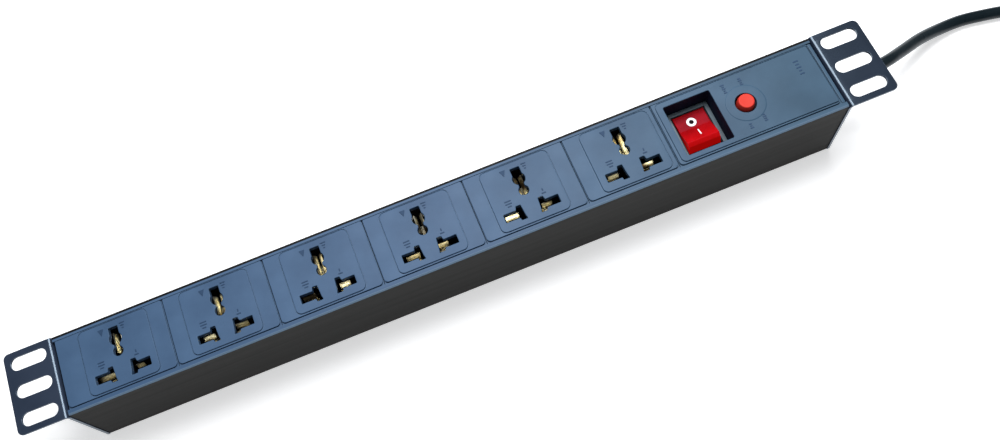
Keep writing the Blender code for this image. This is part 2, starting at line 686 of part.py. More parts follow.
# ---------------------------------------------------------------- cable and wiring
def cable_outlet():
    """A split bush in the right bracket that grips the cable where it leaves."""
    inside, outside = LEG_INNER - GAP, LEG_OUTER + GAP
    bore, neck = CABLE_RADIUS + GAP, CABLE_HOLE - GAP
    profile = [(bore, outside + 2.4), (6.2, outside + 2.4), (7.2, outside + 1.6), (7.2, outside)]
    profile += [(neck, outside), (neck, inside), (7.0, inside), (7.0, inside - 1.5), (bore, inside - 1.5)]
    add("cable_bush", turned(profile, 24, "X", (0, 0, CABLE_Z)), INNER_PLASTIC)


def power_cable():
    """The jacket: straight through the bush, down to the bench and away in a long S, with bare ends of core."""
    bench = BACK_Z + CABLE_RADIUS + GAP
    knots = [(CABLE_START_X, 0, CABLE_Z), (222, 0, CABLE_Z), (240, 1.2, 20.8), (257.3, 4.5, 16.8)]
    knots += [(271, 8.9, 10.8), (288, 14.6, 3.3), (303.9, 17.8, -2.4), (317.5, 18.5, bench)]
    knots += [(328.8, 16.8, bench), (340, 14.5, bench), (355.2, 10.5, bench), (371.4, 6.2, bench)]
    jacket = evaluated_mesh(wire("jacket", smooth_path(knots, 3), CABLE_RADIUS, JACKET, 2))
    end, before = Vector(knots[-1]), Vector(knots[-2])
    along = (end - before).normalized()
    tails = []
    for i in range(3):
        angle = 2 * math.pi * i / 3
        offset = Vector((0, math.cos(angle), math.sin(angle))) * 1.35
        fan = Vector((0, math.cos(angle), 0.4 * math.sin(angle) + 0.2)) * 1.6
        path = [end + offset - along * 3, end + offset + along * 3, end + offset + fan + along * 12]
        tails.append(evaluated_mesh(wire("tail", path, CORE_RADIUS, JACKET, 1)))
    add("power_cable", joined(jacket, *tails), JACKET)


def wiring():
    """The cores from the cable to the switch and the earth stud, and the links to the bus bars."""
    live_x, neutral_x = SWITCH_X - POLE_X, SWITCH_X + POLE_X
    in_y, out_y = SWITCH_Y, SWITCH_Y + OUTPUT_Y
    start_x = CABLE_START_X - GAP
    blade = 9.2
    runs = {
        "core_live": (
            BROWN,
            [(start_x, -1.17, 22.68), (start_x - 2, -1.17, 22.68), (196, -4, 19), (186, -8.2, 10)]
            + [(177, -9.5, 4.8), (150, -9.5, 4.4), (140, -6.5, 4.4), (live_x, -1.8, 4.9)]
            + [(live_x, in_y, 7), (live_x, in_y, blade)],
        ),
        "core_neutral": (
            BLUE,
            [(start_x, 0, 20.65), (start_x - 2, 0, 20.65), (197, -0.8, 16), (188, -3.6, 8), (179, -5, 4.6)]
            + [(158, -5, 4.4), (150, -4, 4.4), (neutral_x + 0.4, -1.6, 4.8), (neutral_x, in_y, 7)]
            + [(neutral_x, in_y, blade)],
        ),
        "core_earth": (
            GREEN_YELLOW,
            [(start_x, 1.17, 22.68), (start_x - 2, 1.17, 22.68), (198, 2.4, 18), (195.6, 1.8, 10)]
            + [(194.4, -1.4, 2), (193.4, -2.8, -3), (STUD_X, -0.8, -4.8)],
        ),
        "link_switch_to_breaker": (
            BROWN,
            [(live_x, out_y, blade), (live_x, out_y + 0.6, 6.8), (139, 11.6, 4.4), (150, 12, 4.2)]
            + [(162, 12, 4.2), (167, 10.6, 4.8), (BREAKER_X, BREAKER_Y + 8, 8)]
            + [(BREAKER_X, BREAKER_Y + 8, 11.7)],
        ),
        "link_breaker_to_live_bus": (
            BROWN,
            [(BREAKER_X, BREAKER_Y - 8, 11.7), (BREAKER_X - 0.4, BREAKER_Y - 8.2, 9.6), (165.5, -10, 8.2)]
            + [(161, -13, 10), (156.5, -13.6, 16), (154, -15.4, 22.6), (148, -16.3, 25.2), (135, -16.2, 25.4)]
            + [(BUS_END_X + GAP, BUS_LIVE_Y, 25.4)],
        ),
        "link_switch_to_neutral_bus": (
            BLUE,
            [(neutral_x, out_y, blade), (neutral_x - 0.1, out_y + 1, 8.0), (144.6, 11.4, 7.8), (141, 13.6, 8)]
            + [(132, 13.6, 7), (126, 9, 5), (124.2, 1, 5.4), (124.2, BUS_NEUTRAL_Y, 9.5)]
            + [(124.2, BUS_NEUTRAL_Y, 16), (124.2, BUS_NEUTRAL_Y, 23.1)],
        ),
        "link_stud_to_earth_bus": (
            GREEN_YELLOW,
            [(183.6, STUD_Y, -3.9), (178, 10.6, -2.6), (172, 13.2, 6), (160, 13.6, 11.6), (134, 13.6, 11.6)]
            + [(127, 11.4, 12.6), (124.4, 8, 16), (124.2, EARTH_CLIP_Y, 19.6), (124.2, EARTH_CLIP_Y, 23.2)],
        ),
    }
    for name, (finish, knots) in runs.items():
        wire(name, smooth_path(knots, 3), CORE_RADIUS, finish, 1)


def ring_terminal(name, height, tab_turn):
    """A ring on the stud with a crimp tab, turned to point where its wire comes from."""
    ring = turned([(2.4, 0.7), (4.2, 0.7), (4.2, 0), (2.4, 0)], 18)
    tab = box((3.6, -1.4, 0.05), (9, 1.4, 0.65))
    made = add(name, joined(ring, tab), BRASS, (STUD_X, STUD_Y, height))
    made.rotation_euler.z = math.radians(tab_turn)


def earth_stud():
    """The bonding stud through the channel's back, its two ring terminals and its nut."""
    profile = [(0, 11.5), (1.7, 11.5), (2.0, 11.1), (2.0, 1.2), (3.0, 0.2), (0, 0.2)]
    add("earth_stud", turned(profile, 16), STEEL, (STUD_X, STUD_Y, BACK_Z))
    seat = BACK_Z + FLOOR + GAP
    ring_terminal("ring_terminal_cable", seat, -90)
    ring_terminal("ring_terminal_bus", seat + 1.1, 180)
    nut = prism(circle((0, 0), 4.04, 6), 0, 3.2)
    hole = prism(circle((0, 0), 2.3, 16), -1, 5)
    add("earth_nut", cut(nut, hole), STEEL, (STUD_X, STUD_Y, seat + 2.2))


housing_profile()
socket_modules()
control_cover()
switch()
breaker()
ends()
cable_outlet()
power_cable()
wiring()
earth_stud()
for piece in PARTS.objects:
    round_edges(piece)
    if not piece.parent:
        piece.location.z -= BACK_Z * MM
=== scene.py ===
"""Looks for the rack power strip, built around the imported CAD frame.

Sizes are in millimetres and become metres in the helpers; places come from the CAD nodes.
The strip lies on its back: X runs along it towards the cable, Y up the face, Z out of the sockets.
"""

import json
import math

import bmesh
import bpy
from mathutils import Matrix, Vector


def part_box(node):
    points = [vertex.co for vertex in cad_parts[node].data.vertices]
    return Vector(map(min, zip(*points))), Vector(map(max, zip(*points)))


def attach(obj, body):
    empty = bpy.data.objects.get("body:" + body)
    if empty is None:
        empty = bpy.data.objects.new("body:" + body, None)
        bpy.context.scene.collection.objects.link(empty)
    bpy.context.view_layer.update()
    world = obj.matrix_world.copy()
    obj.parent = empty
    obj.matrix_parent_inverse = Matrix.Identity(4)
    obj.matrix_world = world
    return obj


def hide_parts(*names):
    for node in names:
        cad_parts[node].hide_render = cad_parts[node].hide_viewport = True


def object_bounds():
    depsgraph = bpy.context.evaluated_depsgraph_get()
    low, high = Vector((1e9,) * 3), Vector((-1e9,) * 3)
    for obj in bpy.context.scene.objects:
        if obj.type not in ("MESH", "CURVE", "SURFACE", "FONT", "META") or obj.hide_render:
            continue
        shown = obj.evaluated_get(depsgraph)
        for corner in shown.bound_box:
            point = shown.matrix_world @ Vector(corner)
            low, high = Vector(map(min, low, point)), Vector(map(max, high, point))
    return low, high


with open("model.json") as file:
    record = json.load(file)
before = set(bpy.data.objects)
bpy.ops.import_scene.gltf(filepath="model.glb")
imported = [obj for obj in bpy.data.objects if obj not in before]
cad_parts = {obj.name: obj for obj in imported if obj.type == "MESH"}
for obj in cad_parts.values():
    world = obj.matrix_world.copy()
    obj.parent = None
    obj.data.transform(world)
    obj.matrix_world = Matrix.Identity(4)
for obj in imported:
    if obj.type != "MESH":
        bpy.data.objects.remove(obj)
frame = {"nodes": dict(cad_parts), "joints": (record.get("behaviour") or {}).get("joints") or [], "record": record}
CAD_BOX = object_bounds()
MM = 0.001


# ---------------------------------------------------------------- places, read from the CAD
def box_mm(name):
    low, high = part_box(name)
    return Vector(low) / MM, Vector(high) / MM


SOCKETS = range(1, 7)
COVER_BOXES = {number: box_mm(f"socket_cover_{number}") for number in SOCKETS}
CONTROL_LOW, CONTROL_HIGH = box_mm("control_cover")
BUTTON_LOW, BUTTON_HIGH = box_mm("reset_button")
BUTTON = (BUTTON_LOW + BUTTON_HIGH) / 2
PROFILE_HIGH = box_mm("housing_profile")[1]
SWITCH_LOW = box_mm("switch_housing")[0]
EAR_HIGH = box_mm("end_bracket_right")[1]
HINGE = next(Vector(joint["pos_m"]) for joint in frame["joints"] if joint["name"] == "rocker_hinge")
HINGE_MM = HINGE / MM

# ---------------------------------------------------------------- sizes of the modules
DATUM = PROFILE_HIGH.z - 48.0  # the modules' datum plane, 48 mm below the channel's lips
FLANGE_LOW = CONTROL_LOW.z + 12.0  # the covers' flanges, hidden under the lips
FLANGE_HIGH = DATUM + 46.1
LEDGE_Z = DATUM + 46.6  # the ledge round each face
LEDGE_NEAR, LEDGE_FAR = -18.75, 18.86
FACE_Z = DATUM + 47.7  # the faces of the covers
FACE_NEAR, FACE_FAR = -18.15, 18.84
PANEL_Z = DATUM + 48.1  # the raised panels on the faces
PANEL_NEAR, PANEL_FAR = -17.1, 18.0
PANEL_EDGE = 0.3  # rounding of the panels and of the rims of their openings
END_STRIP = 1.8  # width of the strip between the control cover's face and the bracket
END_STRIP_Z = DATUM + 47.3
PITCH = 56.3  # from one socket to the next
LINE_Y = -10.1  # the live and neutral pins
WELL = (128.1, 154.1, -14.5, 15.05)  # the switch well: left, right, down, up
LINER = 1.15  # the lining of the well
LINER_TOP = DATUM + 47.3
MARK_SUNK, MARK_RAISED = 0.1, 0.2  # how far the marks on the panels reach down and up
CABLE_Z = DATUM + 22.0  # where the cable comes out
CABLE_RADIUS = 3.4


# ---------------------------------------------------------------- outlines
SOFT_STEPS = 3


def arc(centre, radius, start, end, steps):
    """Points along an arc, anticlockwise from start to end in degrees."""
    turns = [math.radians(start + (end - start) * i / steps) for i in range(steps + 1)]
    return [(centre[0] + radius * math.cos(a), centre[1] + radius * math.sin(a)) for a in turns]


def circle(centre, radius, steps=48):
    return arc(centre, radius, 0, 360, steps)[:-1]


def cornered(left, right, low, high, corners):
    """A rectangle with a (radius, steps) for each corner, anticlockwise from the low right one."""
    outline = []
    for i, (radius, steps) in enumerate(corners):
        x = right - radius if i in (0, 1) else left + radius
        y = low + radius if i in (0, 3) else high - radius
        outline += arc((x, y), radius, 90 * i - 90, 90 * i, steps)
    return outline


def rounded(left, right, low, high, radius, steps=8):
    return cornered(left, right, low, high, [(radius, steps)] * 4)


def offset(outline, distance):
    """The closed outline moved to the left of its travel, so inwards when it runs anticlockwise."""
    moved = []
    count = len(outline)
    for i in range(count):
        here = Vector(outline[i])
        before = (here - Vector(outline[i - 1])).normalized()
        after = (Vector(outline[(i + 1) % count]) - here).normalized()
        normals = [Vector((-d.y, d.x)) for d in (before, after)]
        mitre = (normals[0] + normals[1]).normalized()
        moved.append(tuple(here + mitre * distance / max(mitre.dot(normals[0]), 0.3)))
    return moved


def softened(outline, radius):
    """The closed outline with each corner rounded into SOFT_STEPS edges."""
    soft = []
    count = len(outline)
    for i in range(count):
        here = Vector(outline[i])
        to_before = Vector(outline[i - 1]) - here
        to_after = Vector(outline[(i + 1) % count]) - here
        reach = min(radius, to_before.length * 0.45, to_after.length * 0.45)
        start = here + to_before.normalized() * reach
        end = here + to_after.normalized() * reach
        for step in range(SOFT_STEPS + 1):
            t = step / SOFT_STEPS
            soft.append(tuple(start * (1 - t) ** 2 + here * 2 * t * (1 - t) + end * t**2))
    return soft


def mirrored(outline):
    """The outline reflected in x, still running the same way round."""
    return [(-x, y) for x, y in reversed(outline)]


def ribbon(path, thickness):
    """The outline of a strip whose middle follows the path."""
    sides = ([], [])
    for i, point in enumerate(path):
        here = Vector(point)
        before = (here - Vector(path[i - 1])).normalized() if i else None
        after = (Vector(path[i + 1]) - here).normalized() if i + 1 < len(path) else None
        before, after = before or after, after or before
        normals = [Vector((-d.y, d.x)) for d in (before, after)]
        mitre = (normals[0] + normals[1]).normalized()
        reach = thickness / 2 / mitre.dot(normals[0])
        sides[0].append(tuple(here + mitre * reach))
        sides[1].append(tuple(here - mitre * reach))
    return sides[1] + sides[0][::-1]


def smooth_path(knots, steps):
    """A smooth path through the knots, with so many steps between two of them."""
    points = [Vector(knot) for knot in knots]
    ends = [2 * points[0] - points[1]] + points + [2 * points[-1] - points[-2]]
    path = []
    for a, b, c, d in zip(ends, ends[1:], ends[2:], ends[3:]):
        for i in range(steps):
            t = i / steps
            bend = (2 * b) + (c - a) * t + (2 * a - 5 * b + 4 * c - d) * t**2
            path.append((bend + (3 * b - a - 3 * c + d) * t**3) / 2)
    return path + [points[-1]]


# ---------------------------------------------------------------- mesh building
def loop(shape, outline, height):
    """A closed loop of vertices at one height."""
    return [shape.verts.new((x * MM, y * MM, height * MM)) for x, y in outline]


def bridge(shape, first, second):
    """Quads between two loops of the same length."""
    count = len(first)
    for i in range(count):
        j = (i + 1) % count
        shape.faces.new((first[i], first[j], second[j], second[i]))


def loop_edges(shape, ring):
    found = []
    for i, vert in enumerate(ring):
        other = ring[(i + 1) % len(ring)]
        found.append(shape.edges.get((vert, other)) or shape.edges.new((vert, other)))
    return found


def fill(shape, *rings):
    """Flat faces between an outer loop and the loops inside it."""
    edges = [edge for ring in rings for edge in loop_edges(shape, ring)]
    bmesh.ops.triangle_fill(shape, use_beauty=True, use_dissolve=False, edges=edges)


def stack(shape, outline, levels):
    """Joined loops up a wall, one for each (inset, height). Returns the first and the last."""
    rings = []
    for inset, height in levels:
        rings.append(loop(shape, offset(outline, inset) if inset else outline, height))
    for first, second in zip(rings, rings[1:]):
        bridge(shape, first, second)
    return rings[0], rings[-1]


def fillet(radius, top, steps=4):
    """Levels that round a wall over into the flat face at its top."""
    turns = [math.radians(90 * i / steps) for i in range(steps + 1)]
    return [(radius * (1 - math.cos(a)), top - radius + radius * math.sin(a)) for a in turns]


def hole_levels(radius, top, bottom):
    """Levels down the wall of an opening whose rim is rounded, so its insets run outwards."""
    return [(-inset, height) for inset, height in reversed(fillet(radius, top, 3))] + [(0, bottom)]


def both_sides(levels):
    """The levels of an edge and, before them, the same ones upside down."""
    return [(inset, -height) for inset, height in reversed(levels)] + levels


ALONG_X = Matrix(((0, 0, 1, 0), (1, 0, 0, 0), (0, 1, 0, 0), (0, 0, 0, 1)))
ALONG_Y = Matrix(((1, 0, 0, 0), (0, 0, -1, 0), (0, 1, 0, 0), (0, 0, 0, 1)))


def swept(shape, outline, low, high, turn, soft=0.08):
    """A closed bar with softened ends: the outline swept from low to high along X, or against Y."""
    known = set(shape.verts)
    levels = [(soft, low), (0, low + soft), (0, high - soft), (soft, high)]
    first, last = stack(shape, outline, levels)
    fill(shape, first)
    fill(shape, last)
    for vert in shape.verts:
        if vert not in known:
            vert.co = turn @ vert.co


def piece(name, shape, slot, stands_for=None, body="strip", finish=None, smooth=40, at=None):
    """An object from the bmesh, with its slot and finish, on its body, standing for a CAD node."""
    bmesh.ops.recalc_face_normals(shape, faces=shape.faces)
    mesh = bpy.data.meshes.new(name)
    shape.to_mesh(mesh)
    shape.free()
    mesh.shade_smooth()
    mesh.set_sharp_from_angle(angle=math.radians(smooth))
    made = bpy.data.objects.new(name, mesh)
    bpy.context.scene.collection.objects.link(made)
    mesh.materials.append(finish or FINISHES[slot])
    flatten = made.modifiers.new("flat_faces", "WEIGHTED_NORMAL")
    flatten.keep_sharp = True
    if at is not None:
        made.matrix_world = at
    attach(made, body)
    if stands_for:
        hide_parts(stands_for)


# ---------------------------------------------------------------- materials
def new_material(name, settings):
    """A material, its tree and its shader, whose inputs are set as given."""
    made = bpy.data.materials.new(name)
    made.use_nodes = True
    shader = made.node_tree.nodes["Principled BSDF"]
    for key, value in settings.items():
        shader.inputs[key].default_value = value
    return made, made.node_tree, shader


def node(tree, kind, **settings):
    made = tree.nodes.new(kind)
    for key, value in settings.items():
        if key in made.inputs:
            made.inputs[key].default_value = value
        else:
            setattr(made, key, value)
    return made


def noise(tree, scale, detail, stretch=(1, 1, 1)):
    """A noise pattern in the object's own coordinates, stretched along its axes."""
    place = node(tree, "ShaderNodeTexCoord")
    mapping = node(tree, "ShaderNodeMapping")
    mapping.inputs["Scale"].default_value = stretch
    pattern = node(tree, "ShaderNodeTexNoise", Scale=scale, Detail=detail)
    tree.links.new(place.outputs["Object"], mapping.inputs["Vector"])
    tree.links.new(mapping.outputs["Vector"], pattern.inputs["Vector"])
    return pattern.outputs["Fac"]


def ramp(tree, value, low, high, start=0.35, end=0.65):
    """The value turned into a mix of two colours."""
    made = node(tree, "ShaderNodeValToRGB")
    made.color_ramp.elements[0].position = start
    made.color_ramp.elements[1].position = end
    made.color_ramp.elements[0].color = (*low, 1)
    made.color_ramp.elements[1].color = (*high, 1)
    tree.links.new(value, made.inputs["Fac"])
    return made.outputs["Color"]


def spread(tree, value, low=0.0, high=1.0, start=0.0, end=1.0):
    """The value mapped from start..end to low..high, and held there beyond."""
    made = node(tree, "ShaderNodeMapRange")
    for key, number in (("From Min", start), ("From Max", end), ("To Min", low), ("To Max", high)):
        made.inputs[key].default_value = number
    tree.links.new(value, made.inputs["Value"])
    return made.outputs["Result"]


def component(tree, vector, axis):
    split = node(tree, "ShaderNodeSeparateXYZ")
    tree.links.new(vector, split.inputs["Vector"])
    return split.outputs[axis]


def along(tree, axis, start, end):
    """How far a point lies from start to end along a world axis, from 0 to 1."""
    position = node(tree, "ShaderNodeNewGeometry").outputs["Position"]
    return spread(tree, component(tree, position, axis), start=start * MM, end=end * MM)


def upward(tree, start, end):
    """How far a surface faces up, from 0 to 1, by the height of its unit normal."""
    normal = node(tree, "ShaderNodeNewGeometry").outputs["Normal"]
    return spread(tree, component(tree, normal, "Z"), start=start, end=end)


BOTH, EITHER = "MULTIPLY", "MAXIMUM"


def combined(tree, operation, first, second):
    """Two values from 0 to 1 as one: where both are high, or where either is."""
    made = node(tree, "ShaderNodeMath", operation=operation)
    tree.links.new(first, made.inputs[0])
    tree.links.new(second, made.inputs[1])
    return made.outputs["Value"]


def bump(tree, shader, value, strength, distance):
    """Fine relief from the value."""
    made = node(tree, "ShaderNodeBump", Strength=strength, Distance=distance * MM)
    tree.links.new(value, made.inputs["Height"])
    tree.links.new(made.outputs["Normal"], shader.inputs["Normal"])


def mixed(tree, fac, first, second):
    made = tree.nodes.new("ShaderNodeMix")
    made.data_type = "RGBA"
    tree.links.new(fac, made.inputs["Factor"])
    for socket, value in ((made.inputs["A"], first), (made.inputs["B"], second)):
        if isinstance(value, tuple):
            socket.default_value = (*value, 1)
        else:
            tree.links.new(value, socket)
    return made.outputs["Result"]


def edge_wear_and_highlight(tree, colour, worn, radius, strength):
    """The colour with its edges turned towards another one: rubbed wear, and on the slate parts also painted
    highlights.
    """
    bevel = node(tree, "ShaderNodeBevel", Radius=radius * MM, samples=4)
    geometry = node(tree, "ShaderNodeNewGeometry")
    product = node(tree, "ShaderNodeVectorMath", operation="DOT_PRODUCT")
    tree.links.new(bevel.outputs["Normal"], product.inputs[0])
    tree.links.new(geometry.outputs["Normal"], product.inputs[1])
    sharp = spread(tree, product.outputs["Value"], 0.0, strength, 0.995, 0.90)
    return mixed(tree, sharp, colour, worn)


def moulded(name, low, high, roughness, specular=0.5):
    """Moulded plastic: slow mottling in its colour, fine grain in its surface."""
    made, tree, shader = new_material(name, {"Specular IOR Level": specular})
    tree.links.new(ramp(tree, noise(tree, 28, 5), low, high), shader.inputs["Base Color"])
    rough = spread(tree, noise(tree, 60, 4), roughness - 0.05, roughness + 0.07)
    tree.links.new(rough, shader.inputs["Roughness"])
    bump(tree, shader, noise(tree, 900, 3), 0.35, 0.02)
    return made


def metal(name, low, high, roughness):
    """Bare or plated metal with a fine grain."""
    made, tree, shader = new_material(name, {"Metallic": 1.0})
    grain = noise(tree, 300, 4)
    tree.links.new(ramp(tree, noise(tree, 45, 4), low, high), shader.inputs["Base Color"])
    rough = spread(tree, grain, roughness - 0.06, roughness + 0.1)
    tree.links.new(rough, shader.inputs["Roughness"])
    bump(tree, shader, grain, 0.2, 0.02)
    return made


# The slate and teal colours paint the reflection of a bluish light on black plastic.
SLATE_DARK, SLATE_PALE = (0.042, 0.086, 0.162), (0.060, 0.116, 0.208)
TEAL_DARK, TEAL_PALE = (0.036, 0.076, 0.122), (0.050, 0.102, 0.160)
# Paler slate for the edges: rubbed wear, and painted highlight along them.
SLATE_RUBBED_AND_LIT = (0.12, 0.19, 0.28)


def slate_sheen_colour(tree, mottle):
    """Painted reflection of a bluish light on black plastic: slate blue that turns greener towards the cable."""
    blue = ramp(tree, mottle, SLATE_DARK, SLATE_PALE)
    teal = ramp(tree, mottle, TEAL_DARK, TEAL_PALE)
    return mixed(tree, along(tree, "X", 0, 190), blue, teal)


def slate_plastic():
    """Black nylon painted slate blue as the reflection of a bluish light; mottled, with the edges of its mouldings
    paler, rubbed and painted as highlights.
    """
    made, tree, shader = new_material("slate_plastic", {"Specular IOR Level": 0.17})
    colour = slate_sheen_colour(tree, noise(tree, 34, 5))
    tree.links.new(edge_wear_and_highlight(tree, colour, SLATE_RUBBED_AND_LIT, 0.3, 0.55), shader.inputs["Base Color"])
    tree.links.new(spread(tree, noise(tree, 60, 4), 0.41, 0.53), shader.inputs["Roughness"])
    bump(tree, shader, noise(tree, 900, 3), 0.35, 0.02)
    return made


def anodised_aluminium():
    """Black anodised extrusion with drawn lines along X.

    Its lips are slate, a painted reflection, except for the edge of the far one, and paler on the near one's
    chamfer, a painted highlight.
    """
    made, tree, shader = new_material("anodised_aluminium", {})
    lines = noise(tree, 260, 3, (0.02, 1, 1))
    blotch = noise(tree, 16, 4, (0.3, 1, 1))
    side = ramp(tree, blotch, (0.0060, 0.0060, 0.0056), (0.0095, 0.0095, 0.0088))
    wall = 20.1  # from the middle to the channel's side walls
    # Painted reflection: the slate colour goes on the lips' upward faces, short of the far lip's outer edge, and
    # on the parts between the walls.
    lit_tops = combined(tree, BOTH, upward(tree, 0.5, 0.65), along(tree, "Y", wall + 0.1, wall))
    past_near, before_far = along(tree, "Y", -wall, 0.1 - wall), along(tree, "Y", wall, wall - 0.1)
    between = combined(tree, BOTH, past_near, before_far)
    high = along(tree, "Z", DATUM + 45.9, DATUM + 46.0)
    lip = combined(tree, BOTH, combined(tree, EITHER, lit_tops, between), high)
    # Painted highlight: the near lip's chamfer is paler still.
    chamfer = combined(tree, BOTH, lip, along(tree, "Y", -wall - 0.5, -wall - 1.0))
    slate = mixed(tree, chamfer, slate_sheen_colour(tree, lines), (0.125, 0.190, 0.270))
    colour = mixed(tree, lip, side, slate)
    # On the lips the edges go towards the paler slate: rubbed wear, and painted highlight.
    worn = mixed(tree, lip, (0.05, 0.06, 0.08), SLATE_RUBBED_AND_LIT)
    tree.links.new(edge_wear_and_highlight(tree, colour, worn, 0.4, 0.3), shader.inputs["Base Color"])
    tree.links.new(spread(tree, lines, 0.42, 0.54), shader.inputs["Roughness"])
    tree.links.new(spread(tree, lip, 0.04, 0.17), shader.inputs["Specular IOR Level"])
    bump(tree, shader, lines, 0.15, 0.03)
    return made


def powder_coat():
    """Navy powder coat with orange peel, rubbed at the edges, and darker towards the cable as painted shade."""
    # The bluish specular and coat tints stand in for a bluish light: painted reflection colour.
    settings = {"Roughness": 0.24, "Specular Tint": (0.62, 0.82, 1.0, 1)}
    settings |= {"Coat Weight": 0.35, "Coat Tint": (0.70, 0.88, 1.0, 1), "Coat Roughness": 0.16}
    made, tree, shader = new_material("navy_powder_coat", settings)
    mottle = noise(tree, 40, 4)
    left = ramp(tree, mottle, (0.020, 0.028, 0.048), (0.029, 0.038, 0.062))
    right = ramp(tree, mottle, (0.009, 0.013, 0.024), (0.014, 0.019, 0.033))
    # Painted shade: the bracket towards the cable is darker than the other one.
    colour = mixed(tree, along(tree, "X", -100, 100), left, right)
    worn = edge_wear_and_highlight(tree, colour, (0.12, 0.16, 0.23), 0.4, 0.4)
    tree.links.new(worn, shader.inputs["Base Color"])
    bump(tree, shader, noise(tree, 700, 2), 0.06, 0.01)
    return made


def red_lens():
    """Clear red plastic over a lamp: mottled, with painted light, an emission that grows towards its near half,
    which faces away from the key light.
    """
    settings = {"Roughness": 0.36, "Specular IOR Level": 0.05}
    # The purplish specular tint paints the colour of a bluish light into the reflections.
    settings |= {"Specular Tint": (0.85, 0.62, 1.0, 1)}
    settings |= {"Subsurface Weight": 0.35, "Subsurface Radius": (1.0, 0.1, 0.08)}
    settings |= {"Subsurface Scale": 3 * MM, "Emission Color": (1.0, 0.006, 0.003, 1)}
    made, tree, shader = new_material("red_lens", settings)
    colour = ramp(tree, noise(tree, 160, 3), (0.23, 0.002, 0.004), (0.30, 0.003, 0.006))
    tree.links.new(colour, shader.inputs["Base Color"])
    # Painted light: an emission strongest on the near half, which the key light doesn't reach.
    place = node(tree, "ShaderNodeTexCoord").outputs["Object"]
    painted_glow = spread(tree, component(tree, place, "X"), 0.01, 0.28, 2 * MM, -9 * MM)
    tree.links.new(painted_glow, shader.inputs["Emission Strength"])
    bump(tree, shader, noise(tree, 500, 2), 0.25, 0.02)
    return made


def pvc_jacket():
    """Black cable jacket, whose bluish sheen is painted by a bluish coat tint."""
    settings = {"Specular IOR Level": 0.08, "Coat Weight": 0.22}
    # The bluish coat tint stands in for a bluish light: painted reflection colour.
    settings |= {"Coat Tint": (0.62, 0.85, 1.0, 1), "Coat Roughness": 0.20}
    made, tree, shader = new_material("black_pvc", settings)
    colour = ramp(tree, noise(tree, 60, 4), (0.005, 0.010, 0.013), (0.010, 0.016, 0.020))
    tree.links.new(colour, shader.inputs["Base Color"])
    tree.links.new(spread(tree, noise(tree, 220, 3), 0.24, 0.34), shader.inputs["Roughness"])
    bump(tree, shader, noise(tree, 420, 3), 0.2, 0.03)
    return made


def tarnished_brass():
    """Pale rolled brass with dull brown patches, so that no two contacts look alike."""
    made, tree, shader = new_material("brass", {"Metallic": 1.0})
    grain = noise(tree, 260, 4, (0.1, 1, 1))
    clean = ramp(tree, grain, (0.66, 0.58, 0.38), (0.95, 0.92, 0.74))
    patches = spread(tree, noise(tree, 110, 2), start=0.38, end=0.52)
    colour = mixed(tree, patches, (0.17, 0.135, 0.085), clean)
    tree.links.new(colour, shader.inputs["Base Color"])
    tree.links.new(spread(tree, grain, 0.28, 0.44), shader.inputs["Roughness"])
    bump(tree, shader, grain, 0.2, 0.02)
    return made


def striped_core():
    """Green insulation with a yellow stripe that winds round it."""
    made, tree, shader = new_material("green_yellow_core", {"Roughness": 0.4})
    place = node(tree, "ShaderNodeTexCoord")
    wave = node(tree, "ShaderNodeTexWave", Scale=90.0, Distortion=0.5, bands_direction="DIAGONAL")
    tree.links.new(place.outputs["Object"], wave.inputs["Vector"])
    colour = ramp(tree, wave.outputs["Fac"], (0.02, 0.20, 0.04), (0.75, 0.60, 0.03), 0.48, 0.55)
    tree.links.new(colour, shader.inputs["Base Color"])
    bump(tree, shader, noise(tree, 500, 2), 0.2, 0.02)
    return made


def lamp_glass():
    made, tree, shader = new_material("lamp_glass", {"Roughness": 0.05, "Transmission Weight": 0.7})
    colour = ramp(tree, noise(tree, 90, 3), (0.95, 0.55, 0.35), (1.0, 0.7, 0.5))
    tree.links.new(colour, shader.inputs["Base Color"])
    return made


def bezel_nylon():
    """The switch's body: near black, with painted reflection making the bezel's top paler, except along its near
    side.
    """
    made, tree, shader = new_material("bezel_nylon", {})
    # Painted reflection: a pale slate on the bezel's upward faces at its ends and far side.
    lit_bezel_colour = ramp(tree, noise(tree, 40, 5), (0.070, 0.104, 0.128), (0.104, 0.142, 0.168))
    high = along(tree, "Z", DATUM + 35.7, DATUM + 35.9)
    top = combined(tree, BOTH, upward(tree, 0.93, 0.98), high)
    left, right, far = HINGE_MM.x - 9.5, HINGE_MM.x + 10.0, HINGE_MM.y + 12.0
    before = along(tree, "X", left + 0.1, left - 0.1)
    beyond = along(tree, "X", right - 0.1, right + 0.1)
    ends = combined(tree, EITHER, before, beyond)
    beside = combined(tree, EITHER, ends, along(tree, "Y", far - 0.1, far + 0.1))
    rim = combined(tree, BOTH, top, beside)
    tree.links.new(mixed(tree, rim, (0.004, 0.005, 0.009), lit_bezel_colour), shader.inputs["Base Color"])
    tree.links.new(spread(tree, noise(tree, 60, 4), 0.38, 0.50), shader.inputs["Roughness"])
    tree.links.new(spread(tree, rim, 0.05, 0.25), shader.inputs["Specular IOR Level"])
    bump(tree, shader, noise(tree, 900, 3), 0.3, 0.02)
    return made


def white_print():
    made, tree, shader = new_material("white_print", {"Roughness": 0.45})
    colour = ramp(tree, noise(tree, 300, 3), (0.82, 0.82, 0.84), (0.95, 0.95, 0.96))
    tree.links.new(colour, shader.inputs["Base Color"])
    bump(tree, shader, noise(tree, 900, 2), 0.2, 0.01)
    return made


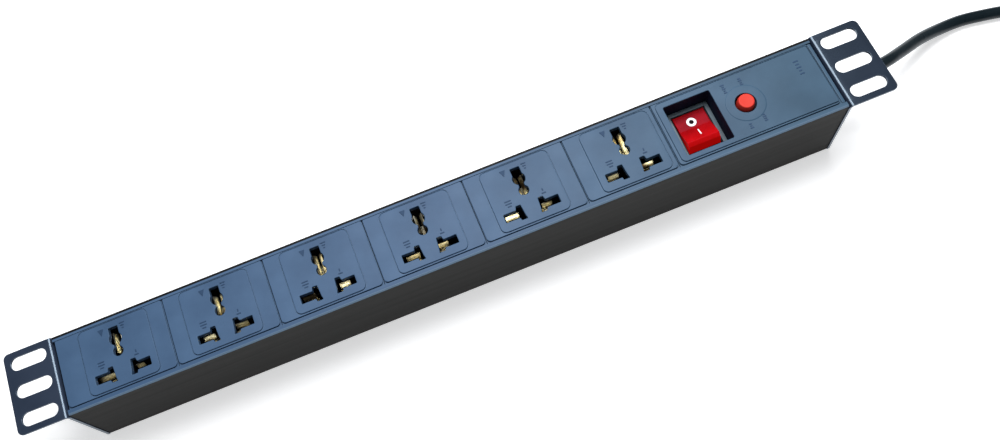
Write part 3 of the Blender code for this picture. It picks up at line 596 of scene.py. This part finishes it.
FINISHES = {
    "slate_plastic": slate_plastic(),
    "anodised_aluminium": anodised_aluminium(),
    "black_nylon": moulded("black_nylon", (0.004, 0.005, 0.011), (0.008, 0.009, 0.017), 0.55, 0.2),
    "navy_powder_coat": powder_coat(),
    "red_lens": red_lens(),
    "coral_plastic": moulded("coral_plastic", (0.62, 0.034, 0.02), (0.72, 0.05, 0.03), 0.46, 0.15),
    "brass": tarnished_brass(),
    "zinc_steel": metal("zinc_steel", (0.48, 0.50, 0.52), (0.66, 0.67, 0.68), 0.30),
    "black_pvc": pvc_jacket(),
    "brown_core": moulded("brown_core", (0.13, 0.045, 0.02), (0.19, 0.07, 0.035), 0.4),
    "blue_core": moulded("blue_core", (0.02, 0.08, 0.40), (0.03, 0.12, 0.52), 0.4),
    "green_yellow_core": striped_core(),
    "lamp_glass": lamp_glass(),
}
WHITE_PRINT = white_print()
DARK_PRINT = moulded("dark_print", (0.006, 0.002, 0.003), (0.012, 0.003, 0.005), 0.6, 0.05)
COPPER = metal("copper_strand", (0.60, 0.25, 0.12), (0.85, 0.42, 0.24), 0.25)
BEZEL = bezel_nylon()
DARK_LINING = moulded("dark_lining", (0.004, 0.010, 0.030), (0.007, 0.016, 0.044), 0.65, 0.08)
# The raised marks are a darker slate: painted shade on them.
SHADED_MARK = moulded("slate_shadow", (0.026, 0.056, 0.112), (0.036, 0.072, 0.138), 0.5, 0.1)


# ---------------------------------------------------------------- socket covers
def earth_outline():
    """The earth opening: a slot that runs into a round hole, a neck and a smaller round hole."""
    slot_half, slot_top = 2.6, 14.5
    large, large_radius = (0, 8.0), 3.45
    small, small_radius = (0, 1.1), 2.75
    neck_half = 1.5
    shoulder = math.degrees(math.acos(slot_half / large_radius))
    throat = math.degrees(math.acos(neck_half / large_radius))
    collar = math.degrees(math.acos(neck_half / small_radius))
    foot = slot_top - 2.5
    corners = [(slot_half, foot), (slot_half, slot_top), (-slot_half, slot_top), (-slot_half, foot)]
    corner_points = SOFT_STEPS + 1
    outline = softened(corners, 0.5)[corner_points:-corner_points]
    outline += arc(large, large_radius, 180 - shoulder, 180 + throat, 10)
    outline += arc(small, small_radius, 180 - collar, 360 + collar, 20)
    outline += arc(large, large_radius, 360 - throat, 360 + shoulder, 10)
    return outline


def line_outline():
    """The live opening: a flat-pin slot with a leaning blade slot beside it."""
    corners = [(15.1, -7.7), (8.0, -7.85), (7.5, -5.7), (4.8, -5.7), (4.3, -11.9), (3.8, -13.9)]
    corners += [(7.1, -13.9), (7.4, -12.35), (15.1, -12.35)]
    return softened(corners, 0.45)


def cover_flange(shape, left, right, hole_bottoms, end=0):
    """The hidden flange, the ledge on it, the face's outer wall and, past its end, the end strip.

    Returns the face's top loop.
    """
    half = -COVER_BOXES[1][0].y
    flange = [(left, -half), (right + end, -half), (right + end, half), (left, half)]
    low, high = stack(shape, flange, [(0, FLANGE_LOW), (0, FLANGE_HIGH)])
    fill(shape, low, *hole_bottoms)
    ledge = [(left, LEDGE_NEAR), (right + end, LEDGE_NEAR)]
    ledge += [(right + end, LEDGE_FAR), (left, LEDGE_FAR)]
    ledge_foot, ledge_top = stack(shape, ledge, [(0, FLANGE_HIGH)] + fillet(0.04, LEDGE_Z, 1))
    fill(shape, high, ledge_foot)
    near_corner, far_corner = (2.2, 8), (0.6, 4)
    corners = [near_corner, far_corner, far_corner, near_corner]
    face = cornered(left + 0.3, right - 0.3, FACE_NEAR, FACE_FAR, corners)
    foot, top = stack(shape, face, [(0, LEDGE_Z)] + fillet(0.25, FACE_Z))
    feet = [foot]
    if end:
        strip_near, strip_far = -18.5, 18.6
        strip = rounded(right + 0.1, right + end - 0.05, strip_near, strip_far, 0.3, 2)
        strip_foot, strip_top = stack(shape, strip, [(0, LEDGE_Z)] + fillet(0.2, END_STRIP_Z, 2))
        fill(shape, strip_top)
        feet.append(strip_foot)
    fill(shape, ledge_top, *feet)
    return top


def raised_panel(shape, outline, face_top, *insides):
    """A panel raised out of a fine groove, with loops inside it, and the face round it."""
    groove = FACE_Z - 0.42
    levels = [(-0.46, FACE_Z), (-0.38, groove), (-0.03, groove), (0, FACE_Z + 0.02)]
    foot, top = stack(shape, outline, levels + fillet(PANEL_EDGE, PANEL_Z, 3)[1:])
    fill(shape, face_top, foot)
    fill(shape, top, *insides)


def socket_x(number):
    """The middle of a socket: the earth bar starts 6 mm before the first."""
    return box_mm("earth_bus_bar")[0].x + 6 + PITCH * (number - 1)


def socket_cover(number):
    low, high = COVER_BOXES[number]
    centre = socket_x(number)
    shape = bmesh.new()
    rims, bottoms = [], []
    for outline in (earth_outline(), line_outline(), mirrored(line_outline())):
        rim, bottom = stack(shape, outline, hole_levels(PANEL_EDGE, PANEL_Z, FLANGE_LOW))
        rims.append(rim)
        bottoms.append(bottom)
    face_top = cover_flange(shape, low.x - centre, high.x - centre, bottoms)
    half, corner = 19.0, 3.0
    raised_panel(shape, rounded(-half, half, PANEL_NEAR, PANEL_FAR, corner), face_top, *rims)
    name = f"socket_cover_{number}"
    place = Matrix.Translation((centre * MM, 0, 0))
    piece(f"{name}_face", shape, "slate_plastic", name, at=place)
    socket_marks(number, place)


def raised_mark(shape, outline, low, high):
    foot, top = stack(shape, outline, [(0, low), (0, high - 0.08), (0.06, high)])
    fill(shape, foot)
    fill(shape, top)


def bars(shape, middle, spacing, sizes, raised=MARK_RAISED):
    """Raised bars one above another: a (width, height) for each, spaced in y about the middle."""
    x = middle[0]
    for i, (width, height) in enumerate(sizes):
        y = middle[1] + ((len(sizes) - 1) / 2 - i) * spacing
        corner = min(width, height) * 0.3
        bar = rounded(x - width / 2, x + width / 2, y - height / 2, y + height / 2, corner, 2)
        raised_mark(shape, bar, PANEL_Z - MARK_SUNK, PANEL_Z + raised)


def socket_marks(number, place):
    """Generic raised shapes: a triangle and bars by the earth opening, bars by the other two."""
    shape = bmesh.new()
    x, y = -6.6, 13.6
    triangle = softened([(x, y - 1.9), (x + 1.6, y + 1.7), (x - 1.6, y + 1.7)], 0.3)
    raised_mark(shape, triangle, PANEL_Z - MARK_SUNK, PANEL_Z + MARK_RAISED)
    bars(shape, (5.2, 13.6), 1.45, [(2.9, 0.6), (2.0, 0.6), (1.1, 0.6)])
    bars(shape, (-10.2, -3.1), 1.5, [(3.6, 0.65), (3.6, 0.65), (2.2, 0.65)])
    bars(shape, (8.8, -3.4), 1.9, [(0.7, 1.5), (2.4, 0.7)])
    piece(f"socket_marks_{number}", shape, "slate_plastic", finish=SHADED_MARK, at=place)


# ---------------------------------------------------------------- contacts
def leaf_path(middle, base_z, gap, mouth):
    """Half of a spring contact, end on: up from its base, in to the pin, and out at the mouth."""
    knots = [(2.9, 0), (2.9, 6), (gap + 0.9, 11.5), (gap, 15.4), (gap + 0.5, 17.2), (mouth, 19.0)]
    return smooth_path([(middle + across, base_z + up) for across, up in knots], 4)


def spring_contact(shape, middle, low, high, turn, gap, mouth):
    right = leaf_path(middle, DATUM + 24.6, gap, mouth)
    left = [(2 * middle - across, up) for across, up in reversed(right)]
    swept(shape, ribbon(left + right, 0.6), low, high, turn)


# The bar's y, half width and height, and where its contacts start and end at a socket.
BUS_BARS = {
    "live": (-15.6, 0.4, 4.0, 4.1, 12.4),
    "neutral": (-3.2, 0.4, 4.0, -15.0, -5.4),
    "earth": (6.9, 2.5, 1.1, -0.6, 13.4),
}


def bus_bar(pole, bar_y, half_width, height, start, end):
    """A bus bar with a sprung contact at each socket, no two quite alike, as wear leaves them."""
    name = f"{pole}_bus_bar"
    low, high = box_mm(name)
    shape = bmesh.new()
    section = rounded(bar_y - half_width, bar_y + half_width, low.z, low.z + height, 0.12, 2)
    swept(shape, section, low.x, high.x, ALONG_X, 0.1)
    phase = len(pole)
    for number in SOCKETS:
        centre = socket_x(number)
        sway = math.sin(2.3 * number + phase)
        gap, mouth = 0.85 + 0.15 * sway, 2.3 - 0.3 * math.cos(1.7 * number + phase)
        if pole == "earth":
            near = start + 1.2 + math.sin(1.9 * number)
            far = end - 1.5 - math.cos(2.7 * number)
            spring_contact(shape, centre + 0.2 * sway, -far, -near, ALONG_Y, gap, mouth)
            continue
        west = centre + start + 1.1 + math.sin(3.1 * number + phase)
        east = centre + end - 1.3 - math.cos(2.1 * number + phase)
        spring_contact(shape, LINE_Y + 0.25 * sway, west, east, ALONG_X, gap, mouth)
        near, far = sorted((bar_y, LINE_Y + math.copysign(2.4, bar_y - LINE_Y)))
        tab = rounded(near, far, DATUM + 24.35, DATUM + 24.85, 0.08, 2)
        middle = (west + east) / 2
        swept(shape, tab, middle - 2, middle + 2, ALONG_X)
    piece(f"{name}_contacts", shape, "brass", name)


# ---------------------------------------------------------------- control cover
def control_cover():
    """The cover with the switch well and a low ring round the reset button."""
    left, right = CONTROL_LOW.x, CONTROL_HIGH.x - END_STRIP
    well = rounded(*WELL, 0.9, 4)
    shape = bmesh.new()
    rebate, rebate_z = -LINER - 0.05, LINER_TOP + 0.1
    well_levels = hole_levels(PANEL_EDGE, PANEL_Z, rebate_z)
    well_levels += [(rebate, rebate_z), (rebate, FLANGE_LOW)]
    well_rim, well_foot = stack(shape, well, well_levels)

    ring_top, ring_radius, hole_radius = PANEL_Z + 0.3, 10.4, 5.6
    hole = circle((BUTTON.x, BUTTON.y), hole_radius)
    hole_rim, hole_low = stack(shape, hole, hole_levels(0.2, ring_top, FLANGE_LOW))
    ring = circle((BUTTON.x, BUTTON.y), ring_radius, 72)
    ring_levels = [(-0.1, PANEL_Z), (0, PANEL_Z + 0.05), (0.2, PANEL_Z + 0.25), (0.6, ring_top)]
    ring_foot, ring_rim = stack(shape, ring, ring_levels)
    fill(shape, ring_rim, hole_rim)

    face_top = cover_flange(shape, left, right, [well_foot, hole_low], END_STRIP)
    corners = [(0.8, 4), (0.8, 4), (2.6, 8), (2.6, 8)]
    panel = cornered(left + 2, right - 0.9, PANEL_NEAR, PANEL_FAR, corners)
    raised_panel(shape, panel, face_top, well_rim, ring_foot)
    piece("control_cover_face", shape, "slate_plastic", "control_cover")
    well_liner(well)
    control_marks()


def well_liner(well):
    """A near-black lining drawn on the well's walls and floor, set in a rebate under the face, with a hole for the
    switch.
    """
    floor, bottom = SWITCH_LOW.z + 16.9, CONTROL_LOW.z
    half_x, half_y = 11.3, 13.6  # the hole for the switch
    x, y, _ = HINGE_MM
    shape = bmesh.new()
    rim, foot = stack(shape, well, [(0, LINER_TOP), (0, floor)])
    outer_top, outer_low = stack(shape, well, [(-LINER, LINER_TOP), (-LINER, bottom)])
    cutout = rounded(x - half_x, x + half_x, y - half_y, y + half_y, 0.6, 3)
    cut_top, cut_low = stack(shape, cutout, [(0, floor), (0, bottom)])
    fill(shape, outer_top, rim)
    fill(shape, foot, cut_top)
    fill(shape, outer_low, cut_low)
    piece("control_well_liner", shape, "black_nylon", "control_cover", finish=DARK_LINING)


def control_marks():
    """Plain raised bars where the moulding carries small print."""
    shape = bmesh.new()
    for x, y, widths in (
        (-6.6, 11.6, (2.2, 1.5, 2.0, 1.2, 1.8)),
        (3.0, 12.2, (1.6, 2.1, 1.3, 1.9)),
        (-3.4, -12.8, (1.7, 1.2, 2.0)),
        (5.0, -11.2, (1.3, 1.9, 1.5, 1.8)),
    ):
        bars(shape, (BUTTON.x + x, BUTTON.y + y), 1.15, [(width, 0.7) for width in widths])
    by_bracket = (201.5, 8.0)
    bars(shape, by_bracket, 1.9, [(width, 0.8) for width in (3.0, 2.2, 2.8, 1.8, 2.6)], 0.1)
    piece("control_marks", shape, "slate_plastic", finish=SHADED_MARK)


# ---------------------------------------------------------------- rocker and button
def rocker():
    """The rocker's solid outer form and its marks, drawn about its pivot and tilted to off."""
    radius, valley, half_width = 12.6, 7.2, 8.8  # valley: the middle of its face, above the pivot
    ridge = arc((0, 0), radius, 44.5, 32, 5)
    side = ridge[-1][0]
    half = ridge + [(side, 1), (4.5, 1), (4.5, -3)]
    outline = softened([(0, valley)] + half + [(-y, z) for y, z in reversed(half)], 0.3)
    shape = bmesh.new()
    low, high = stack(shape, outline, both_sides(fillet(0.4, half_width)))
    fill(shape, low)
    fill(shape, high)
    middle = Matrix.Translation(HINGE) @ Matrix.Rotation(math.radians(-15.45), 4, "X")
    piece("rocker_lens", shape, "red_lens", "switch_rocker", "rocker", at=middle @ ALONG_X)

    crest_y, crest_z = ridge[0]
    slope = math.atan2(crest_z - valley, crest_y)

    def mark(name, shape, finish, x, y):
        """A mark on the rocker's face, leaning with it."""
        lift = valley + abs(y) * math.tan(slope)
        lean = Matrix.Rotation(math.copysign(slope, y), 4, "X")
        place = middle @ Matrix.Translation((x * MM, y * MM, lift * MM)) @ lean
        piece(name, shape, "red_lens", body="rocker", finish=finish, at=place)

    sunk, off_x, off_y = -0.05, -0.35, 3.55
    shape = bmesh.new()
    levels = [(0, sunk), (0, 0.06)]
    ring = [stack(shape, circle((0, 0), wide, 40), levels) for wide in (2.6, 1.3)]
    for outer, inner in zip(*ring):
        fill(shape, outer, inner)
    mark("rocker_mark_off", shape, WHITE_PRINT, off_x, off_y)
    shape = bmesh.new()
    raised_mark(shape, circle((0, 0), 1.25, 32), sunk, 0.09)
    mark("rocker_mark_centre", shape, DARK_PRINT, off_x, off_y)
    shape = bmesh.new()
    raised_mark(shape, rounded(-0.38, 0.38, -2.05, 2.05, 0.2, 3), sunk, 0.1)
    mark("rocker_mark_on", shape, WHITE_PRINT, 0.5, -4.1)


def turned(shape, profile):
    """A turned surface from (radius, height) pairs, closed at radius 0. Returns its loops."""
    rings = []
    for radius, height in profile:
        rings.append(loop(shape, circle((0, 0), radius, 64) if radius else [(0, 0)], height))
    for first, second in zip(rings, rings[1:]):
        if len(first) == 1 or len(second) == 1:
            tip, rim = (first[0], second) if len(first) == 1 else (second[0], first)
            for i in range(len(rim)):
                shape.faces.new((tip, rim[i], rim[(i + 1) % len(rim)]))
        else:
            bridge(shape, first, second)
    return rings


def reset_button():
    """The button's dished cap, its body and its stem."""
    top, low = BUTTON_HIGH.z, BUTTON_LOW.z
    body, stem, shoulder_z = 4.8, 1.7, top - 12.7
    profile = [(0, top - 0.12), (1.6, top - 0.08), (3.0, top - 0.02)]
    profile += arc((3.6, top - 0.45), 0.45, 90, 0, 5) + [(4.6, top - 2.6), (body, top - 8)]
    profile += [(body, shoulder_z), (stem, shoulder_z), (stem, low), (0, low)]
    shape = bmesh.new()
    turned(shape, profile)
    place = Matrix.Translation((BUTTON.x * MM, BUTTON.y * MM, 0))
    piece("reset_button_cap", shape, "coral_plastic", "reset_button", "reset", at=place)


# ---------------------------------------------------------------- brackets
def bracket(side):
    """A bracket drawn flat, with rounded edges round the sheet, slots and holes, then bent."""
    sheet, bend_radius = 1.5, 1.85
    gap, leg_low, half_width = 0.3, 0.3, EAR_HIGH.y
    centre_x = PROFILE_HIGH.x + gap + sheet / 2 + bend_radius
    centre_z = EAR_HIGH.z - sheet / 2 - bend_radius
    bend_start = centre_z - leg_low
    bend_end = bend_start + bend_radius * math.pi / 2
    total = bend_end + EAR_HIGH.x - centre_x

    ear_corner, foot_corner = (3, 8), (1, 4)
    corners = [ear_corner, ear_corner, foot_corner, foot_corner]
    outer = cornered(0, total, -half_width, half_width, corners)
    slot_x, slot_pitch, slot_radius, slot_half = 228.1, 15.2, 3.6, 6.2
    slot_centre = bend_end + slot_x - centre_x
    screw_hole, screw_y, cable_hole = 1.7, 17.0, 5.8
    holes = []
    for y in (-slot_pitch, 0, slot_pitch):
        slot = arc((slot_centre + slot_half, y), slot_radius, -90, 90, 14)
        holes.append(slot + arc((slot_centre - slot_half, y), slot_radius, 90, 270, 14))
    for y in (-screw_y, screw_y):
        for z in (5.2, DATUM + 17.5):
            holes.append(circle((z - leg_low, y), screw_hole, 24))
    if side > 0:
        holes.append(circle((CABLE_Z - leg_low, 0), cable_hole, 40))

    shape = bmesh.new()
    wall = both_sides(fillet(0.22, sheet / 2, 3))
    outer_low, outer_high = stack(shape, outer, wall)
    hole_wall = [(-inset, height) for inset, height in wall]
    hole_loops = [stack(shape, hole, hole_wall) for hole in holes]
    fill(shape, outer_low, *[low for low, _ in hole_loops])
    fill(shape, outer_high, *[high for _, high in hole_loops])
    cuts = 14
    for cut in range(cuts + 1):
        s = bend_start + (bend_end - bend_start) * cut / cuts
        everything = [*shape.verts, *shape.edges, *shape.faces]
        plane = {"plane_co": (s * MM, 0, 0), "plane_no": (1, 0, 0)}
        bmesh.ops.bisect_plane(shape, geom=everything, dist=1e-7, **plane)
    # The edges that run from cut to cut on the flat faces go, so that the bend is made of strips.
    lengthwise = []
    for edge in shape.edges:
        low, high = sorted(vert.co.x / MM for vert in edge.verts)
        faces = edge.link_faces
        flat = len(faces) == 2 and all(abs(face.normal.z) > 0.999 for face in faces)
        if flat and bend_start - 0.01 < low and high < bend_end + 0.01 and high - low > 0.01:
            lengthwise.append(edge)
    bmesh.ops.dissolve_edges(shape, edges=lengthwise)
    for vert in shape.verts:
        s, y, h = vert.co / MM
        turn = min(max(s - bend_start, 0), bend_end - bend_start) / bend_radius
        x = centre_x - (bend_radius + h) * math.cos(turn) + max(s - bend_end, 0)
        z = centre_z + (bend_radius + h) * math.sin(turn) + min(s - bend_start, 0)
        vert.co = (side * x * MM, y * MM, z * MM)
    name = "end_bracket_right" if side > 0 else "end_bracket_left"
    piece(f"{name}_sheet", shape, "navy_powder_coat", name, smooth=32)


# ---------------------------------------------------------------- cable
def tube(name, path, radius, slot, stands_for=None, finish=None, sides=6):
    """A round tube along a path of points in millimetres."""
    curve = bpy.data.curves.new(name, "CURVE")
    curve.dimensions = "3D"
    curve.bevel_depth = radius * MM
    curve.bevel_resolution = sides
    curve.use_fill_caps = True
    spline = curve.splines.new("POLY")
    spline.points.add(len(path) - 1)
    for point, place in zip(spline.points, path):
        point.co = (*(Vector(place) * MM), 1)
    guide = bpy.data.objects.new(f"{name}_guide", curve)
    bpy.context.scene.collection.objects.link(guide)
    bpy.context.view_layer.update()
    depsgraph = bpy.context.evaluated_depsgraph_get()
    mesh = bpy.data.meshes.new_from_object(guide.evaluated_get(depsgraph))
    bpy.data.objects.remove(guide)
    shape = bmesh.new()
    shape.from_mesh(mesh)
    bmesh.ops.remove_doubles(shape, verts=shape.verts, dist=1e-7)
    piece(name, shape, slot, stands_for, finish=finish, smooth=50)


def power_cable():
    """The jacket in its long S down to the bench, and its cut end with three stripped cores."""
    bench = CABLE_RADIUS + 0.3
    knots = [(204, 0, CABLE_Z), (222, 0, CABLE_Z), (240, 1.2, DATUM + 20.8)]
    knots += [(257.3, 4.5, DATUM + 16.8), (271, 8.9, DATUM + 10.8), (288, 14.6, DATUM + 3.3)]
    knots += [(303.9, 17.8, DATUM - 2.4), (317.5, 18.5, bench), (328.8, 16.8, bench)]
    knots += [(340, 14.5, bench), (355.2, 10.5, bench), (371.4, 6.2, bench)]
    path = smooth_path(knots, 10)
    tube("power_cable_jacket", path, CABLE_RADIUS, "black_pvc", "power_cable", sides=8)
    end, before = Vector(knots[-1]), Vector(knots[-2])
    onward = (end - before).normalized()
    from_middle, core_radius, strand_radius = 1.35, 1.0, 0.6
    for i, core in enumerate(("brown_core", "blue_core", "green_yellow_core")):
        angle = 2 * math.pi * i / 3
        inside = end + from_middle * Vector((0, math.cos(angle), math.sin(angle)))
        fanned = inside + 1.6 * Vector((0, math.cos(angle), 0.4 * math.sin(angle) + 0.2))
        path = smooth_path([inside - onward * 2, inside + onward * 3, fanned + onward * 9.5], 6)
        tube(f"cable_tail_{i + 1}", path, core_radius, core)
        tip = path[-1]
        heading = (tip - path[-2]).normalized()
        strand = [tip - heading * 0.5, tip + heading * 2.4]
        tube(f"cable_strand_{i + 1}", strand, strand_radius, "brass", finish=COPPER)


def cable_bush():
    """The strain-relief bush: a domed collar outside the bracket, a neck and a flange inside."""
    inside, outside = PROFILE_HIGH.x, PROFILE_HIGH.x + 2.1
    bore, neck, flange = CABLE_RADIUS + 0.3, 5.5, 7.0
    profile = [(bore, outside + 2.4), (4.4, outside + 2.4)]
    profile += arc((5.6, outside + 0.8), 1.6, 90, 0, 5)
    profile += [(7.2, outside), (neck, outside), (neck, inside), (flange, inside)]
    profile += [(flange, inside - 1.5), (bore, inside - 1.5)]
    shape = bmesh.new()
    rings = turned(shape, profile)
    bridge(shape, rings[-1], rings[0])
    place = Matrix.Translation((0, 0, CABLE_Z * MM)) @ Matrix.Rotation(math.radians(90), 4, "Y")
    piece("cable_bush_collar", shape, "black_nylon", "cable_bush", at=place)


# ---------------------------------------------------------------- CAD nodes that stay
def dress_cad_nodes():
    """The CAD nodes that are still shown get their finish and smooth shading."""
    slots = {entry["node"]: entry["material_slot"] for entry in frame["record"]["subparts"]}
    for name, obj in frame["nodes"].items():
        if obj.hide_render:
            continue
        obj.data.materials.clear()
        obj.data.materials.append(BEZEL if name == "switch_housing" else FINISHES[slots[name]])
        obj.data.shade_smooth()
        obj.data.set_sharp_from_angle(angle=math.radians(35))


# ---------------------------------------------------------------- studio
def studio():
    """White paper that glows a little, a dim even sky and one soft lamp."""
    paper_settings = {"Roughness": 0.9, "Specular IOR Level": 0.1}
    paper_settings |= {"Emission Color": (1, 1, 1, 1), "Emission Strength": 0.55}
    paper, tree, shader = new_material("floor_paper", paper_settings)
    colour = ramp(tree, noise(tree, 3, 2), (0.88, 0.88, 0.88), (0.90, 0.90, 0.90))
    tree.links.new(colour, shader.inputs["Base Color"])
    mesh = bpy.data.meshes.new("floor")
    shape = bmesh.new()
    bmesh.ops.create_grid(shape, x_segments=1, y_segments=1, size=6)
    shape.to_mesh(mesh)
    shape.free()
    mesh.materials.append(paper)
    floor = bpy.data.objects.new("floor", mesh)
    floor.location.z = CAD_BOX[0][2] - 0.0002
    bpy.context.scene.collection.objects.link(floor)

    world = bpy.data.worlds.new("studio")
    bpy.context.scene.world = world
    world.use_nodes = True
    sky = world.node_tree.nodes["Background"]
    sky.inputs["Color"].default_value = (0.93, 0.96, 1.0, 1)
    sky.inputs["Strength"].default_value = 0.22

    light = bpy.data.lights.new("key_light", "AREA")
    light.size = 0.5
    light.energy = 11
    light.color = (0.97, 0.98, 1.0)
    lamp = bpy.data.objects.new("key_light", light)
    lamp.location = (0.15, 0.29, 0.86)
    target = Vector((0.05, 0, 0))
    lamp.rotation_euler = (target - lamp.location).to_track_quat("-Z", "Y").to_euler()
    bpy.context.scene.collection.objects.link(lamp)


def camera():
    """Above the strip and towards its near side, rolled so that the strip climbs to the right."""
    data = bpy.data.cameras.new("camera")
    made = bpy.data.objects.new("camera", data)
    bpy.context.scene.collection.objects.link(made)
    bpy.context.scene.camera = made
    data.lens = 38.56
    data.shift_x, data.shift_y = 0.1004, -0.0607
    data.clip_start = 0.01
    heading = Vector((0.0096, 0.4138, -0.9103))
    roll = Matrix.Rotation(math.radians(-20.37), 4, "Z")
    turn = heading.to_track_quat("-Z", "Y").to_matrix().to_4x4() @ roll
    made.matrix_world = Matrix.Translation((-0.0152, -0.1932, 0.5762)) @ turn


for number in SOCKETS:
    socket_cover(number)
control_cover()
for pole, bar in BUS_BARS.items():
    bus_bar(pole, *bar)
rocker()
reset_button()
bracket(-1)
bracket(1)
power_cable()
cable_bush()
dress_cad_nodes()
studio()
camera()
bpy.context.scene.view_settings.view_transform = "Standard"
